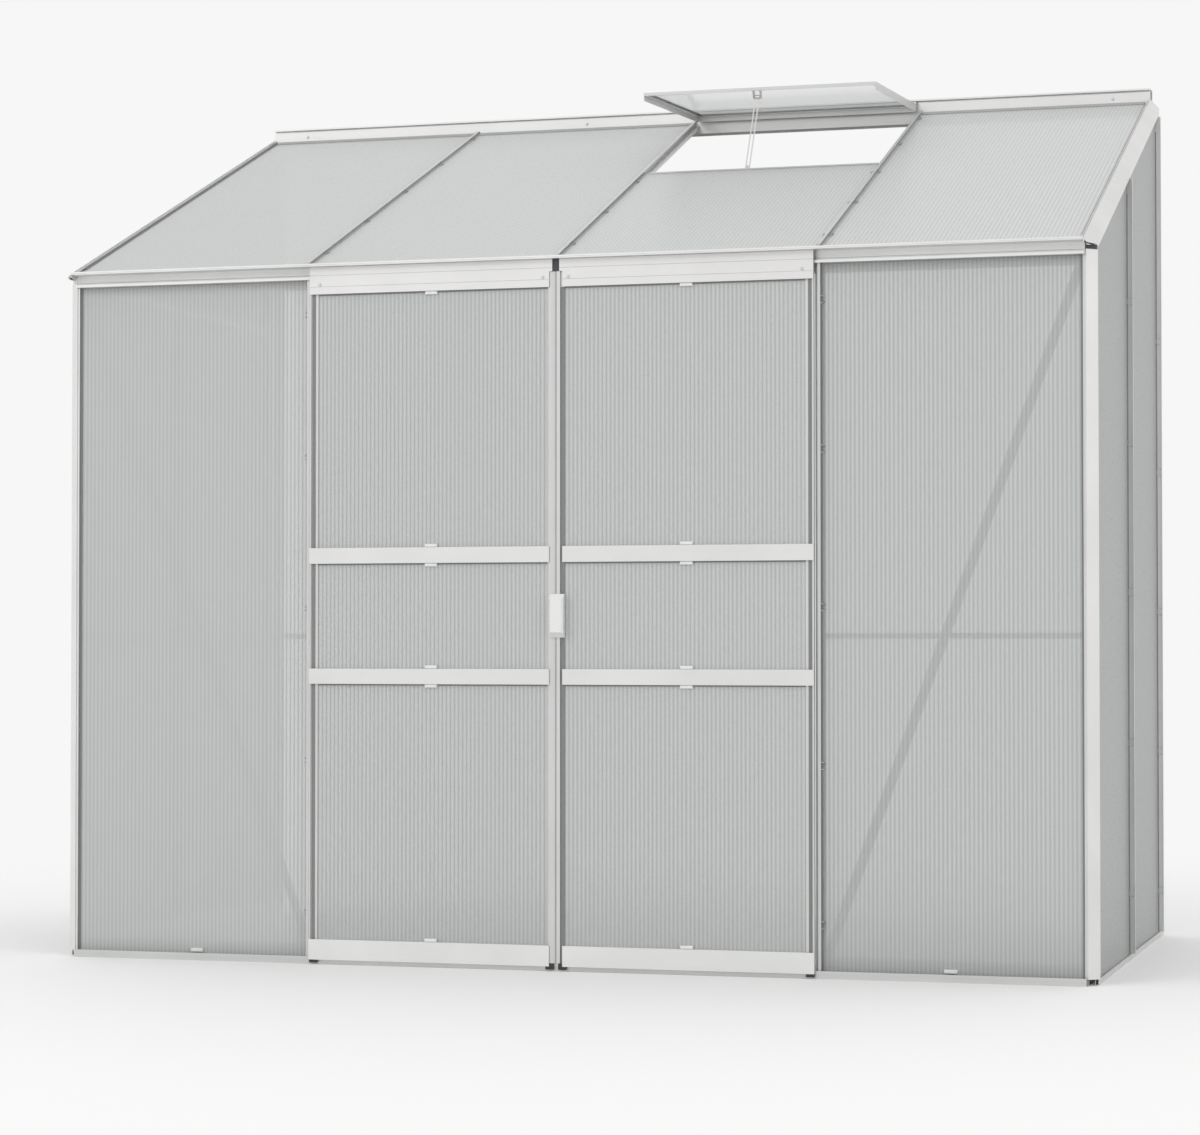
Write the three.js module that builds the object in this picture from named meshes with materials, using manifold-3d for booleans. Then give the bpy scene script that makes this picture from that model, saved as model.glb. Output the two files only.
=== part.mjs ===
// Lean-to greenhouse with a pair of sliding doors and one roof vent.
// Millimetres. +X runs along the wall, +Y points to the wall, +Z is up.
// While it is built, X is zero at the middle, Y is zero at the outer face of
// the front panes and Z is zero under the sills. The last step centres it in Y.

import * as THREE from "three";
import { mergeVertices } from "three/addons/utils/BufferGeometryUtils.js";
import Module from "manifold-3d";

const wasm = await Module();
wasm.setup();

// Overall grid
const BAY = 620;
const FRONT_BAYS = 4;
const GABLE_BAYS = 2;
const WALL_Y = 1310;
const WALL_POST_ROOM = 70;
const GAP = 0.3;
const EDGE_ROOM = 5;
const SHEET = 4;
const SKIN = 1.5;
const EAVES_PANE_Z = 1662;
const RIDGE_TOP_Z = 2204;
const RIDGE_PANE_DROP = 38;
const RIDGE_RAIL_DEPTH = 48;

const HALF = BAY * FRONT_BAYS * 0.5;
const GABLE_BAY = (WALL_Y - WALL_POST_ROOM) / GABLE_BAYS;
const RIDGE_PANE_Z = RIDGE_TOP_Z - RIDGE_PANE_DROP;
const RIDGE_FACE_Y = WALL_Y - RIDGE_RAIL_DEPTH;
const SLOPE = Math.atan2(RIDGE_PANE_Z - EAVES_PANE_Z, RIDGE_FACE_Y);
const SLOPE_SIN = Math.sin(SLOPE);
const SLOPE_COS = Math.cos(SLOPE);
const SLOPE_TAN = SLOPE_SIN / SLOPE_COS;

// Glazing bar: a flange for the panes, a standing fin and a bolt channel
const BAR_FLANGE_HALF = 12;
const FIN_PROUD = 14;
const ROOF_FIN_PROUD = 8;
const FIN_THICK = 2;
const FIN_CAP_HALF = 3.5;
const FIN_CAP_THICK = 2;
const CHANNEL_HALF = 8;
const CHANNEL_DEPTH = 12;
const CHANNEL_MOUTH_HALF = 4.5;

const SHOULDER = SHEET + GAP;
const ROOF_FIN_HEIGHT = ROOF_FIN_PROUD + SHOULDER;
const BAR_BACK = SHOULDER + CHANNEL_DEPTH;

// Corner bar, used for the corner posts and the end rafters
const CORNER_PROUD = 8;
const CORNER_SKIN = 1.6;
const CORNER_WING = 8;
const CORNER_BEVEL = 22;
const CORNER_SHELF = 14;
const CORNER_GROOVE = 3;
const CORNER_BEAD = 1.5;
const RAFTER_WING = 15;

// Sills
const SILL_BACK_Y = 16.6;
const SILL_LIP_Y = -21.5;
const SILL_LIP_HEIGHT = 17.5;
const SILL_BEAD = 7.5;
const SILL_WEB_HEIGHT = 45;
const SEAT_Z = 14;
const SEAT_OUT = 2;
const SEAT_WEB_Y = 2;
const SIDE_LIP_OUT = 5;
const SIDE_LIP_HEIGHT = 13.5;
const SILL_END_CUT = 18;
const BARS_Z = SEAT_Z + GAP;

// Eaves gutter and door track
const GUTTER_FACE_Y = -8;
const GUTTER_FACE_THICK = 2;
const GUTTER_DROP = 10;
const GUTTER_HEIGHT = 30;
const GUTTER_FRONT_Y = -48;
const GUTTER_LIP_HEIGHT = 5;
const GUTTER_BEAD = 3.2;
const GUTTER_LEG_HEIGHT = 51;
const GUTTER_END_CUT = 17;
const FACE_GROOVE = 0.7;
const FACE_GROOVE_DROP = 19;
const TRACK_Y = -20;
const TRACK_EDGE_HEIGHT = 6;
const FRONT_PANE_DROP = 22;
const POST_DROP = 28;
const RAFTER_END_DROP = 18;
const RAFTER_END_IN = 4;
const RAFTER_START_Y = -11;
const ROOF_PANE_START_Y = -14;

const GUTTER_TOP_Z = EAVES_PANE_Z - GUTTER_DROP;
const GUTTER_LOW_Z = GUTTER_TOP_Z - GUTTER_HEIGHT;
const FRONT_PANE_TOP = EAVES_PANE_Z - FRONT_PANE_DROP;
const POST_TOP_Z = EAVES_PANE_Z - POST_DROP;
const RAFTER_END_Z = EAVES_PANE_Z - RAFTER_END_DROP;

// Ridge rail
const RIDGE_HEIGHT = 64;
const RIDGE_END_CUT = 15;
const RIDGE_LIP_OUT = 4;
const RIDGE_LIP_HEIGHT = 4.5;
const RIDGE_GROOVE_BACK = 4.5;
const RIDGE_GROOVE_FLOOR = 8.5;

const RIDGE_LOW_Z = RIDGE_TOP_Z - RIDGE_HEIGHT;

// Wall posts
const WALL_FLANGE = 24;

// Gable ties and front braces
const TIE_DROP = 32;
const TIE_SIZE = 20;
const TIE_START_Y = 30;
const TIE_END_CUT = 84;
const BRACE_WIDTH = 22;
const BRACE_THICK = 1.5;
const BRACE_TOP_DROP = 50;
const BRACE_LOW_Z = 30;
const BRACE_OUTER_CUT = 27;
const BRACE_INNER_CUT = 5;

const TIE_Z = EAVES_PANE_Z - TIE_DROP;
const BRACE_TOP_Z = EAVES_PANE_Z - BRACE_TOP_DROP;

// Roof vent, in roof bay three
const VENT_MARGIN = 10;
const VENT_LENGTH = 563;
const VENT_TOP_DROP = 8;
const VENT_DEPTH = 20;
const VENT_FLANGE = 14;
const VENT_LEDGE = 10;
const VENT_SHEET = 4;
const VENT_OPEN_ANGLE = 18.47;
const VENT_NECK_START = 14;
const VENT_BEAD_R = 2.4;
const VENT_NECK_ANGLE = 8;
const VENT_HINGE_IN = 1;
const VENT_SILL_IN = 5.2;
const VENT_SILL_LAP = 12;
const VENT_SILL_DEPTH = 12;
const CAP_LIP = 1;

const VENT_HINGE_Y = RIDGE_FACE_Y + VENT_HINGE_IN;
const VENT_SILL_Y = VENT_HINGE_Y - (VENT_LENGTH - VENT_SILL_IN) * SLOPE_COS;

// Vent stay: a slotted bar that leans along the roof
const STAY_WIDTH = 12;
const STAY_THICK = 2.5;
const STAY_RAIL = 2.8;
const STAY_SLOT_START = 22;
const STAY_SLOT_END = 8;
const STAY_ASIDE = 35;
const STAY_PIVOT_LEFT = 7;
const STAY_PIVOT_IN = 18;
const STAY_PIVOT_DROP = 2;
const STAY_EYE_R = 5;
const STAY_PIN_R = 2;
const STAY_BORE_R = 2.3;
const STAY_EAR = 2;
const STAY_EAR_GAP = 2;
const STAY_PEG_LENGTH = 8;
const STAY_PEG_DEPTH = 7;
const STAY_END_UP = 11.4;
const STAY_END_IN = 1.4;

// Sliding doors
const DOOR_MEET_HALF = 1;
const DOOR_END_ROOM = 9;
const DOOR_BACK_Y = -15.2;
const DOOR_SLOT = 4.6;
const STILE_WIDTH = 20;
const STILE_NOSE = 9;
const OUTER_NOSE = 3.5;
const COVER_WIDTH = 17.5;
const COVER_CROWN = 3.4;
const STILE_NOSE_OUT = 3.7;
const STILE_BACK = 16;
const STILE_ROOM = 0.8;
const STILE_TOP_DROP = 40.5;
const RAIL_FACE_Y = -29;
const RAIL_MEET_CUT = 15;
const TOP_RAIL_MEET_CUT = 7.5;
const BOTTOM_RAIL = [11, 59];
const LOWER_RAIL = [662, 698];
const UPPER_RAIL = [946, 983];
const TOP_RAIL_DROP = 12;
const TOP_RAIL_HEIGHT = 64.5;
const TOP_RAIL_GROOVES = [20, 47];
const TOP_BOX_DROP = 50;
const TOP_WEB_DROP = 3;
const BOTTOM_WEB_RISE = 6;

const DOOR_OUTER = BAY - DOOR_END_ROOM;
const STILE_LOW_Z = SILL_LIP_HEIGHT + STILE_ROOM;
const STILE_TOP_Z = EAVES_PANE_Z - STILE_TOP_DROP;
const TOP_RAIL_TOP = EAVES_PANE_Z - TOP_RAIL_DROP;
const TOP_RAIL = [TOP_RAIL_TOP - TOP_RAIL_HEIGHT, TOP_RAIL_TOP];
const TOP_BOX_Z = EAVES_PANE_Z - TOP_BOX_DROP;

// Rollers and their axles
const ROLLER_R = 9;
const ROLLER_RIM_R = 11.5;
const ROLLER_HALF = 3;
const ROLLER_GROOVE_HALF = 1.1;
const ROLLER_MOUTH_HALF = 1.6;
const ROLLER_INSET = 50;
const AXLE_R = 2.5;
const AXLE_HEAD_R = 4.5;
const AXLE_HEAD = 1.2;
const RUNNING_GAP = 0.3;

// Pull handle
const HANDLE_HALF = 16.5;
const HANDLE_MIDDLE = 5;
const HANDLE_LOW_Z = 771;
const HANDLE_TOP_Z = 872;
const HANDLE_FRONT_Y = -46;
const HANDLE_EDGE = 4;

const TURN_STEPS = 32;
const PIN_STEPS = 20;

const X = new THREE.Vector3(1, 0, 0);
const Y = new THREE.Vector3(0, 1, 0);
const Z = new THREE.Vector3(0, 0, 1);
const ROOF_UP = new THREE.Vector3(0, SLOPE_COS, SLOPE_SIN);
const ROOF_OUT = new THREE.Vector3(0, -SLOPE_SIN, SLOPE_COS);
const ROOF_ORIGIN = new THREE.Vector3(0, 0, EAVES_PANE_Z);

const ALUMINIUM = { color: 0xdcddda, roughness: 0.42, metalness: 0.75 };
const BRIGHT = { color: 0xe8e8e4, roughness: 0.3, metalness: 0.85 };
const TWIN_WALL = { color: 0xd4dad8, roughness: 0.35, metalness: 0 };
const CLEAR = { color: 0xe2ebe8, roughness: 0.12, metalness: 0 };
const WHITE = { color: 0xeeeeea, roughness: 0.45, metalness: 0 };
const BLACK = { color: 0x26272a, roughness: 0.6, metalness: 0 };

const model = new THREE.Group();
model.name = "lean_to_greenhouse";

function toSolid(geometry) {
  const bare = new THREE.BufferGeometry();
  bare.setAttribute("position", geometry.getAttribute("position").clone());
  if (geometry.index) bare.setIndex(geometry.index.clone());
  const welded = mergeVertices(bare);
  return new wasm.Manifold(new wasm.Mesh({
    numProp: 3,
    vertProperties: Float32Array.from(welded.getAttribute("position").array),
    triVerts: Uint32Array.from(welded.index.array),
  }));
}

function toGeometry(solid) {
  const mesh = solid.getMesh();
  const geometry = new THREE.BufferGeometry();
  geometry.setAttribute("position", new THREE.BufferAttribute(Float32Array.from(mesh.vertProperties), 3));
  geometry.setIndex(new THREE.BufferAttribute(Uint32Array.from(mesh.triVerts), 1));
  geometry.computeVertexNormals();
  return geometry;
}

function addPart(name, solid, look) {
  const mesh = new THREE.Mesh(toGeometry(solid), new THREE.MeshStandardMaterial(look));
  mesh.name = name;
  model.add(mesh);
}

// A prism whose outline lies in the across-outward plane and that runs along
// the direction across x outward. Each hole is cut right through it.
function prism(outline, length, origin, across, outward, holes = []) {
  const points = outline.map(([u, v]) => new THREE.Vector2(u, v));
  const shape = new THREE.Shape(points);
  const geometry = new THREE.ExtrudeGeometry(shape, { depth: length, bevelEnabled: false });
  const along = new THREE.Vector3().crossVectors(across, outward);
  geometry.applyMatrix4(new THREE.Matrix4().makeBasis(across, outward, along).setPosition(origin));
  const before = origin.clone().addScaledVector(along, -SKIN);
  const cuts = holes.map((hole) => prism(hole, length + SKIN * 2, before, across, outward));
  return cuts.reduce((whole, cut) => whole.subtract(cut), toSolid(geometry));
}

function box(x, y, z) {
  const [x0, x1] = [Math.min(...x), Math.max(...x)];
  const [y0, y1] = [Math.min(...y), Math.max(...y)];
  const [z0, z1] = [Math.min(...z), Math.max(...z)];
  const geometry = new THREE.BoxGeometry(x1 - x0, y1 - y0, z1 - z0);
  geometry.translate((x0 + x1) * 0.5, (y0 + y1) * 0.5, (z0 + z1) * 0.5);
  return toSolid(geometry);
}

// Upright piece from a plan outline in X and Y
function upright(outline, z0, z1, holes = []) {
  return prism(outline, z1 - z0, new THREE.Vector3(0, 0, z0), X, Y, holes);
}

// Piece along X from an outline in Y and Z
function lengthways(outline, x, holes = []) {
  const [x0, x1] = [Math.min(...x), Math.max(...x)];
  return prism(outline, x1 - x0, new THREE.Vector3(x0, 0, 0), Y, Z, holes);
}

// Piece along Y from an outline in X and Z
function crossways(outline, y0, y1) {
  return prism(outline.map(([x, z]) => [z, x]), y1 - y0, new THREE.Vector3(0, y0, 0), Z, X);
}

// Piece up the roof slope, from an outline in X and in the height over the
// outer plane of the roof panes. Its ends are given as depths from the front.
function upRoof(outline, y0, y1, holes = []) {
  const origin = ROOF_ORIGIN.clone().addScaledVector(ROOF_UP, y0 / SLOPE_COS);
  const flip = (points) => points.map(([x, n]) => [-x, n]);
  const across = X.clone().negate();
  return prism(flip(outline), (y1 - y0) / SLOPE_COS, origin, across, ROOF_OUT, holes.map(flip));
}

function cylinderX(x, y, z, radius, steps = PIN_STEPS) {
  const [x0, x1] = [Math.min(...x), Math.max(...x)];
  const geometry = new THREE.CylinderGeometry(radius, radius, x1 - x0, steps);
  geometry.rotateZ(Math.PI / 2);
  geometry.translate((x0 + x1) * 0.5, y, z);
  return toSolid(geometry);
}

function cylinderY(x, y, z, radius, steps = PIN_STEPS) {
  const [y0, y1] = [Math.min(...y), Math.max(...y)];
  const geometry = new THREE.CylinderGeometry(radius, radius, y1 - y0, steps);
  geometry.translate(x, (y0 + y1) * 0.5, z);
  return toSolid(geometry);
}

// Keeps what lies deeper than the given height over the roof's pane plane
function underRoof(solid, height) {
  const offset = ROOF_ORIGIN.dot(ROOF_OUT) + height;
  return solid.trimByPlane([0, SLOPE_SIN, -SLOPE_COS], -offset);
}

function beforeY(solid, y) {
  return solid.trimByPlane([0, -1, 0], -y);
}

function afterY(solid, y) {
  return solid.trimByPlane([0, 1, 0], y);
}

function aboveZ(solid, z) {
  return solid.trimByPlane([0, 0, 1], z);
}

// Outline of a glazing bar: u across it, v outwards with zero at the outer
// plane of the panes. The fin stands proud of that plane.
function barOutline(proud) {
  const capLow = proud - FIN_CAP_THICK;
  const fin = FIN_THICK * 0.5;
  const face = -SHOULDER;
  const under = -SHOULDER - SKIN;
  const back = -BAR_BACK;
  const inner = CHANNEL_HALF - SKIN;
  const right = [
    [FIN_CAP_HALF, proud], [FIN_CAP_HALF, capLow], [fin, capLow], [fin, face],
    [BAR_FLANGE_HALF, face], [BAR_FLANGE_HALF, under], [CHANNEL_HALF, under],
    [CHANNEL_HALF, back], [CHANNEL_MOUTH_HALF, back], [CHANNEL_MOUTH_HALF, back + SKIN],
    [inner, back + SKIN], [inner, under],
  ];
  const left = right.map(([u, v]) => [-u, v]).reverse();
  return [...right, ...left];
}

// Plan outline of an upright bar at x, y whose fin points along out
function barPlan(x, y, out) {
  const outline = barOutline(FIN_PROUD);
  return outline.map(([u, v]) => [x + u * out[1] + v * out[0], y - u * out[0] + v * out[1]]);
}

// Outline of the corner bar: p outwards over the gable, q outwards over the
// front or the roof, both zero on the outer planes of the panes.
function cornerOutline(wing) {
  const t = CORNER_SKIN;
  const proud = CORNER_PROUD;
  const start = proud - CORNER_BEVEL;
  const face = -SHOULDER;
  const tip = start - CORNER_WING;
  const floor = proud - CORNER_GROOVE;
  const outline = [
    [tip, proud], [tip + CORNER_BEAD, proud], [tip + CORNER_BEAD, floor], [start - t, floor],
    [start - t, proud], [start, proud], [proud, start], [proud, start - wing],
    [proud - t, start - wing], [proud - t, start - t], [face, start - t],
    [face, start - CORNER_SHELF], [face - t, start - CORNER_SHELF], [face - t, start - t],
    [start - t, face - t], [start - CORNER_SHELF, face - t], [start - CORNER_SHELF, face],
    [start - t, face], [start - t, floor - t], [tip, floor - t],
  ];
  const outer = proud + start - t * Math.SQRT2;
  const inner = face + start - t * (2 - Math.SQRT2);
  const hollow = [
    [start, outer - start], [outer - start, start], [inner - start, start], [start, inner - start],
  ];
  return { outline, hollow };
}

function roofZ(y, height = 0) {
  return EAVES_PANE_Z + y * SLOPE_TAN + height / SLOPE_COS;
}

// Points of a V groove in the face at y, listed downwards
function vGroove(y, z, depth) {
  return [[y, z + depth], [y + depth, z], [y, z - depth]];
}

// Sills
function frontSill() {
  const lip = SILL_LIP_Y;
  const wall = lip + SKIN;
  const outline = [
    [wall, 0], [SILL_BACK_Y + SKIN, 0], [SILL_BACK_Y + SKIN, SILL_WEB_HEIGHT],
    [SILL_BACK_Y, SILL_WEB_HEIGHT], [SILL_BACK_Y, SKIN], [SEAT_WEB_Y + SKIN, SKIN],
    [SEAT_WEB_Y + SKIN, SEAT_Z - SKIN], [SHEET, SEAT_Z - SKIN], [SHEET, SEAT_Z],
    [-SEAT_OUT, SEAT_Z], [-SEAT_OUT, SEAT_Z - SKIN], [SEAT_WEB_Y, SEAT_Z - SKIN],
    [SEAT_WEB_Y, SKIN], [wall + SKIN, SKIN], [wall + SKIN, SILL_LIP_HEIGHT], [lip, SILL_LIP_HEIGHT],
    [lip, SILL_LIP_HEIGHT - SILL_BEAD], [wall, SILL_LIP_HEIGHT - SILL_BEAD],
  ];
  const end = HALF - SILL_END_CUT;
  const doorway = BAY - BAR_FLANGE_HALF;
  const cut = box([-doorway, doorway], [wall + SKIN * 2, WALL_Y], [SKIN, SILL_WEB_HEIGHT * 2]);
  return lengthways(outline, [-end, end]).subtract(cut);
}

function sideSill(side) {
  const out = HALF + SIDE_LIP_OUT;
  const web = HALF - SILL_BACK_Y;
  const points = [
    [out, 0], [out, SIDE_LIP_HEIGHT], [out - SKIN, SIDE_LIP_HEIGHT], [out - SKIN, SKIN],
    [HALF - SEAT_WEB_Y, SKIN], [HALF - SEAT_WEB_Y, SEAT_Z - SKIN], [HALF + SEAT_OUT, SEAT_Z - SKIN],
    [HALF + SEAT_OUT, SEAT_Z], [HALF - SHEET, SEAT_Z], [HALF - SHEET, SEAT_Z - SKIN],
    [HALF - SEAT_WEB_Y - SKIN, SEAT_Z - SKIN], [HALF - SEAT_WEB_Y - SKIN, SKIN],
    [web, SKIN], [web, SILL_WEB_HEIGHT], [web - SKIN, SILL_WEB_HEIGHT], [web - SKIN, 0],
  ];
  const wallEnd = WALL_Y - SKIN - GAP;
  return crossways(points.map(([x, z]) => [side * x, z]), SILL_BACK_Y + SKIN + GAP, wallEnd);
}

addPart("front_sill", frontSill(), ALUMINIUM);
addPart("left_sill", sideSill(-1), ALUMINIUM);
addPart("right_sill", sideSill(1), ALUMINIUM);

// Uprights
function cornerPost(side) {
  const { outline, hollow } = cornerOutline(CORNER_WING);
  const plan = (points) => points.map(([p, q]) => [side * (HALF + p), -q]);
  const post = upright(plan(outline), BARS_Z, POST_TOP_Z, [plan(hollow)]);
  const end = HALF - GUTTER_END_CUT + GAP;
  const notch = box([0, side * end], [GUTTER_FRONT_Y, WALL_Y], [GUTTER_LOW_Z - GAP, RIDGE_TOP_Z]);
  return post.subtract(notch);
}

const GUTTER_LEG_LOW = GUTTER_TOP_Z - GUTTER_LEG_HEIGHT;

function jamb(side) {
  const post = upright(barPlan(side * BAY, 0, [0, -1]), BARS_Z, GUTTER_TOP_Z - SKIN - GAP);
  const front = [GUTTER_FRONT_Y, GUTTER_FACE_Y + GUTTER_FACE_THICK + GAP];
  return post.subtract(box([-HALF, HALF], front, [GUTTER_LOW_Z - GAP, GUTTER_TOP_Z]));
}

const BAR_CLEAR = CORNER_PROUD - CORNER_BEVEL - RAFTER_WING - GAP;

function gablePost(side) {
  return underRoof(upright(barPlan(side * HALF, GABLE_BAY, [side, 0]), BARS_Z, RIDGE_TOP_Z), BAR_CLEAR);
}

function wallPost(side) {
  const x = HALF - SHOULDER;
  const y = GABLE_BAY * GABLE_BAYS;
  const bar = upright(barPlan(side * HALF, y, [side, 0]), BARS_Z, RIDGE_TOP_Z);
  const web = box([side * x, side * (x - SKIN)], [y + BAR_FLANGE_HALF - SKIN, WALL_Y], [BARS_Z, RIDGE_TOP_Z]);
  const flange = box([side * x, side * (x - WALL_FLANGE)], [WALL_Y - SKIN, WALL_Y], [BARS_Z, RIDGE_TOP_Z]);
  const end = HALF - RIDGE_END_CUT + GAP;
  const ridge = box([0, side * end], [y, WALL_Y * 2], [RIDGE_LOW_Z - GAP, RIDGE_TOP_Z * 2]);
  return underRoof(bar.add(web).add(flange).subtract(ridge), BAR_CLEAR);
}

addPart("left_corner_post", cornerPost(-1), BRIGHT);
addPart("right_corner_post", cornerPost(1), BRIGHT);
addPart("left_jamb", jamb(-1), ALUMINIUM);
addPart("right_jamb", jamb(1), ALUMINIUM);
addPart("left_gable_post", gablePost(-1), ALUMINIUM);
addPart("right_gable_post", gablePost(1), ALUMINIUM);
addPart("left_wall_post", wallPost(-1), ALUMINIUM);
addPart("right_wall_post", wallPost(1), ALUMINIUM);

// Eaves gutter with the door track on its lower edge
function eavesGutter() {
  const trackFront = TRACK_Y - SKIN * 0.5;
  const faceBack = GUTTER_FACE_Y + GUTTER_FACE_THICK;
  const under = GUTTER_TOP_Z - SKIN;
  const beadTop = GUTTER_TOP_Z + GUTTER_LIP_HEIGHT;
  const beadBack = GUTTER_FRONT_Y + GUTTER_BEAD;
  const groove = GUTTER_TOP_Z - FACE_GROOVE_DROP;
  const outline = [
    [trackFront, GUTTER_LOW_Z + TRACK_EDGE_HEIGHT], [trackFront, GUTTER_LOW_Z],
    [faceBack, GUTTER_LOW_Z], [faceBack, under],
    [SILL_BACK_Y, under], [SILL_BACK_Y, GUTTER_LEG_LOW],
    [SILL_BACK_Y + SKIN, GUTTER_LEG_LOW], [SILL_BACK_Y + SKIN, GUTTER_TOP_Z],
    [beadBack, GUTTER_TOP_Z], [beadBack, beadTop], [GUTTER_FRONT_Y, beadTop],
    [GUTTER_FRONT_Y, beadTop - GUTTER_BEAD], [beadBack - SKIN, beadTop - GUTTER_BEAD],
    [beadBack - SKIN, under], [GUTTER_FACE_Y, under],
    ...vGroove(GUTTER_FACE_Y, groove, FACE_GROOVE), [GUTTER_FACE_Y, GUTTER_LOW_Z + SKIN],
    [trackFront + SKIN, GUTTER_LOW_Z + SKIN], [trackFront + SKIN, GUTTER_LOW_Z + TRACK_EDGE_HEIGHT],
  ];
  const end = HALF - GUTTER_END_CUT;
  return lengthways(outline, [-end, end]);
}

addPart("eaves_gutter", eavesGutter(), ALUMINIUM);

// Roof bars
function rafter(x) {
  const outline = barOutline(ROOF_FIN_PROUD).map(([u, v]) => [x + u, v]);
  const bar = upRoof(outline, RAFTER_START_Y, RIDGE_FACE_Y + ROOF_FIN_HEIGHT);
  const notch = [GUTTER_FRONT_Y, SILL_BACK_Y + SKIN + GAP];
  const low = box([-HALF, HALF], notch, [GUTTER_LEG_LOW, GUTTER_TOP_Z + GAP]);
  return beforeY(bar.subtract(low), RIDGE_FACE_Y - GAP);
}

function endRafter(side) {
  const { outline, hollow } = cornerOutline(RAFTER_WING);
  const turn = (points) => points.map(([p, q]) => [side * (HALF + p), q]);
  const reach = CORNER_BEVEL + RAFTER_WING;
  const start = GUTTER_FRONT_Y - reach;
  const bar = upRoof(turn(outline), start, RIDGE_FACE_Y + reach, [turn(hollow)]);
  const fore = afterY(bar, GUTTER_FRONT_Y + RAFTER_END_IN);
  const high = aboveZ(beforeY(fore, RIDGE_FACE_Y - GAP), RAFTER_END_Z);
  const end = HALF - GUTTER_END_CUT + GAP;
  const low = [GUTTER_LEG_LOW, GUTTER_TOP_Z + GAP];
  return high.subtract(box([0, side * end], [GUTTER_FRONT_Y, SILL_BACK_Y + SKIN + GAP], low));
}

addPart("left_end_rafter", endRafter(-1), BRIGHT);
addPart("right_end_rafter", endRafter(1), BRIGHT);
addPart("left_rafter", rafter(-BAY), ALUMINIUM);
addPart("middle_rafter", rafter(0), ALUMINIUM);
addPart("right_rafter", rafter(BAY), ALUMINIUM);

// Ridge rail: a lip over a groove that takes the vent's hinge bead
const RIDGE_LIP_Y = RIDGE_FACE_Y - RIDGE_LIP_OUT;
const GROOVE_BACK_Y = RIDGE_FACE_Y + RIDGE_GROOVE_BACK;
const GROOVE_FLOOR_Z = RIDGE_TOP_Z - RIDGE_GROOVE_FLOOR;

function ridgeRail() {
  const outline = [
    [RIDGE_LIP_Y, RIDGE_TOP_Z], [RIDGE_LIP_Y, RIDGE_TOP_Z - RIDGE_LIP_HEIGHT],
    [RIDGE_LIP_Y + SKIN, RIDGE_TOP_Z - RIDGE_LIP_HEIGHT], [RIDGE_LIP_Y + SKIN, RIDGE_TOP_Z - SKIN],
    [GROOVE_BACK_Y, RIDGE_TOP_Z - SKIN], [GROOVE_BACK_Y, GROOVE_FLOOR_Z],
    [RIDGE_FACE_Y, GROOVE_FLOOR_Z], [RIDGE_FACE_Y, RIDGE_LOW_Z],
    [RIDGE_FACE_Y + SKIN, RIDGE_LOW_Z], [RIDGE_FACE_Y + SKIN, GROOVE_FLOOR_Z - SKIN],
    [GROOVE_BACK_Y + SKIN, GROOVE_FLOOR_Z - SKIN], [GROOVE_BACK_Y + SKIN, RIDGE_TOP_Z - SKIN],
    [WALL_Y - SKIN, RIDGE_TOP_Z - SKIN], [WALL_Y - SKIN, RIDGE_LOW_Z],
    [WALL_Y, RIDGE_LOW_Z], [WALL_Y, RIDGE_TOP_Z],
  ];
  const end = HALF - RIDGE_END_CUT;
  return lengthways(outline, [-end, end]);
}

addPart("ridge_rail", ridgeRail(), BRIGHT);

// Vent sill: it holds the top edge of the short pane under the vent
const VENT_MIDDLE = BAY * 0.5;
const STAY_HALF = STAY_WIDTH * 0.5;
const STAY_AT = VENT_MIDDLE - STAY_PIVOT_LEFT;
const STAY_X = [STAY_AT - STAY_HALF, STAY_AT + STAY_HALF];

function ventDirection(angle) {
  const turn = THREE.MathUtils.degToRad(angle);
  return {
    down: new THREE.Vector3(0, -Math.cos(turn), -Math.sin(turn)),
    out: new THREE.Vector3(0, -Math.sin(turn), Math.cos(turn)),
  };
}

const HINGE_Z = GROOVE_FLOOR_Z + VENT_BEAD_R + RUNNING_GAP;
const HINGE = new THREE.Vector3(0, VENT_HINGE_Y, HINGE_Z);
const REST = ventDirection(THREE.MathUtils.radToDeg(SLOPE) - VENT_OPEN_ANGLE);
const VENT_UNDER = -VENT_TOP_DROP - VENT_DEPTH;

function ventPoint(down, out) {
  return HINGE.clone().addScaledVector(REST.down, down).addScaledVector(REST.out, out);
}

const STAY_PIVOT = ventPoint(VENT_LENGTH - STAY_PIVOT_IN, VENT_UNDER - STAY_PIVOT_DROP).setX(STAY_AT);
const STAY_END = ROOF_ORIGIN.clone().addScaledVector(ROOF_UP, VENT_SILL_Y / SLOPE_COS + STAY_END_UP)
  .addScaledVector(ROOF_OUT, -STAY_END_IN).setX(STAY_AT - STAY_ASIDE);

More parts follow.
